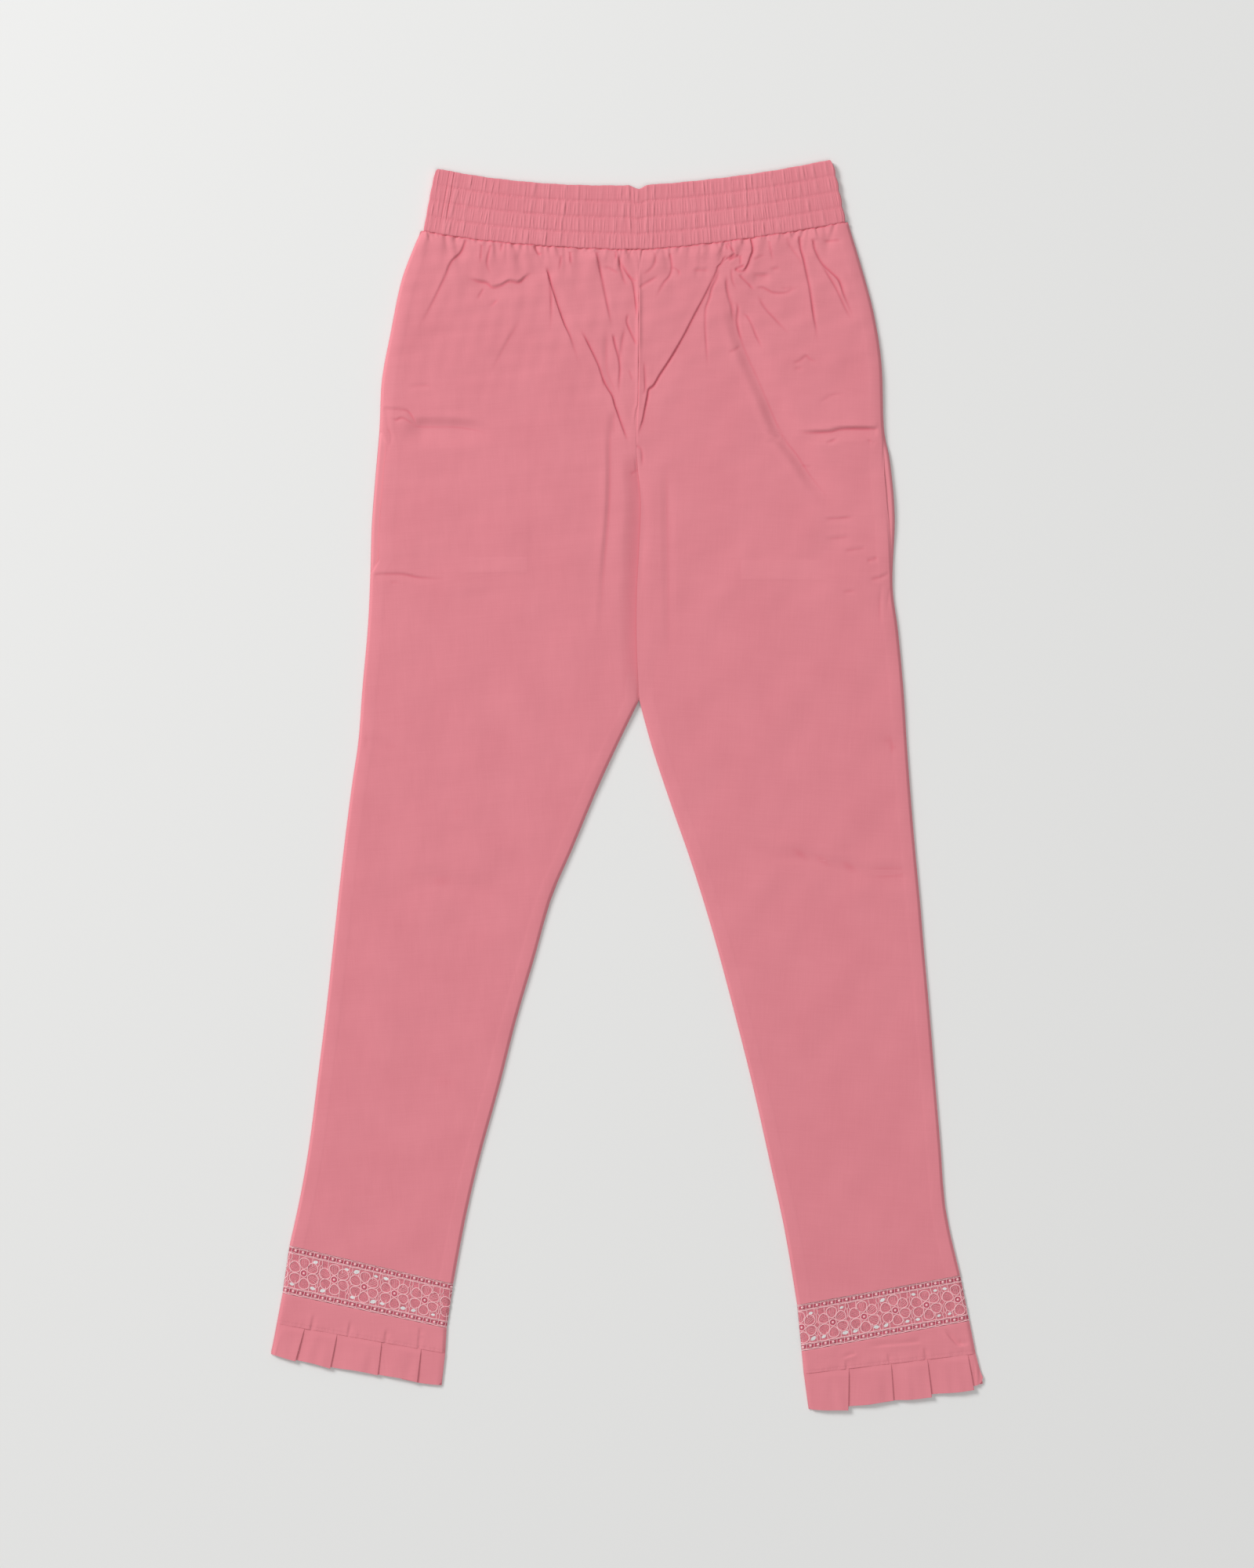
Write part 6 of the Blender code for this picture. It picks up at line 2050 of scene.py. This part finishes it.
def make_lace(side, layer, materials):
    length, height = strip_size(side, LACE)
    flowers = FLOWERS[side]
    front = layer == "front"
    random = np.random.RandomState(LACE_SEED[side] + (0 if front else BACK_LACE_SEED))
    shapes = Shapes()
    for flower in range(-1, flowers.count + 1):
        s = flowers.first + (0.0 if front else BACK_LACE_SHIFT) + flower * flowers.pitch
        if s < -LACE_CUT_MARGIN or s > length + LACE_CUT_MARGIN:
            continue
        add_flower(shapes, s, random)
        add_brides(shapes, s, random)
        add_between(shapes, s + flowers.pitch / 2)
    add_rails(shapes, length, random)
    add_strip(shapes, length, -GROUND_HALF, GROUND_HALF, 0.0, NET_SLOT)
    add_windows(shapes, side, length)

    def to_leg(points):
        """Lays the flat lace on the leg, the back layer with its face down."""
        s, across, z = points.T
        x, y = strip_places(side, LACE, s / length, 0.5 - across / (2 * LACE_HALF))
        if not front:
            return np.stack([x, y, LACE_LIFT[layer] - z], axis=1)
        from_end = np.maximum(np.minimum(s, length - s), 0.0)
        wave = sine_sum(s, LACE_WAVE) - LACE_DROP * edge_drop(from_end)
        return np.stack([x, y, LACE_LIFT[layer] + LACE_REST + z + wave], axis=1)

    made = shapes.object(f"lace_{layer}_{side}_cloth", materials, to_leg)
    cut_ends(made, side)
    finish_piece(made, f"lace_{layer}_{side}")


# Floor, light and camera


def add_to_scene(name, data):
    made = bpy.data.objects.new(name, data)
    bpy.context.scene.collection.objects.link(made)
    return made


def make_floor():
    corners = [(x * FLOOR_HALF, y * FLOOR_HALF, FLOOR_LEVEL) for x, y in ((-1, -1), (1, -1), (1, 1), (-1, 1))]
    mesh = bpy.data.meshes.new("floor")
    mesh.from_pydata(corners, [], [(0, 1, 2, 3)])
    material = bpy.data.materials.new("floor_paper")
    material.use_nodes = True
    shader = material.node_tree.nodes["Principled BSDF"]
    set_inputs(shader, Base_Color=(*FLOOR_COLOUR, 1), Roughness=0.9, Specular_IOR_Level=0.1)
    mesh.materials.append(material)
    add_to_scene("floor", mesh)


def make_light(name, place, size, power):
    """A square lamp that looks at the garment's middle."""
    data = bpy.data.lights.new(name, "AREA")
    data.size = size
    data.energy = power
    lamp = add_to_scene(name, data)
    lamp.location = place
    lamp.rotation_mode = "QUATERNION"
    lamp.rotation_quaternion = (-lamp.location).to_track_quat("-Z", "Y")


def make_light_and_camera():
    make_light("key", *KEY_LIGHT)
    make_light("fill", *FILL_LIGHT)
    world = bpy.data.worlds.new("studio")
    world.use_nodes = True
    set_inputs(world.node_tree.nodes["Background"], Color=(1, 1, 1, 1), Strength=WORLD_LIGHT)
    bpy.context.scene.world = world
    bpy.context.scene.view_settings.view_transform = "Standard"
    data = bpy.data.cameras.new("camera")
    data.sensor_width = SENSOR
    data.lens = LENS
    camera = add_to_scene("camera", data)
    camera.location = (0.0, 0.0, VIEW_HEIGHT * LENS / SENSOR)
    bpy.context.scene.camera = camera


def main():
    make_light_and_camera()
    make_floor()
    cotton = {"right": cotton_material("cotton_right", -4.0), "left": cotton_material("cotton_left", 3.0)}
    thread = thread_material("sewing_thread", THREAD)
    lace = [
        thread_material("lace_cord", CORD, 0.5, 0.35),
        net_material("lace_net", NET),
        net_material("lace_rail_net", RAIL_NET),
        # The openings' plates are painted light, near white as the lit floor below
        net_material("lace_window_painted_lit_floor", PAINTED_LIT_FLOOR),
    ]
    make_waistband(cotton_material("cotton_band"))
    make_band_stitches(thread)
    cuffs = {}
    for side in ("right", "left"):
        make_back_panel(side, cotton[side])
        make_pocket_bag(side, cotton[side])
        make_front_panel(side, cotton[side])
        for layer in ("back", "front"):
            make_lace(side, layer, lace)
            # The front comes last, so its grid is the one that stays
            cuffs[side] = make_cuff(side, layer, cotton[side])
        make_back_ruffle(side, cotton[side])
        make_front_ruffle(side, cotton[side])
    make_cuff_stitches(cuffs, thread)


main()
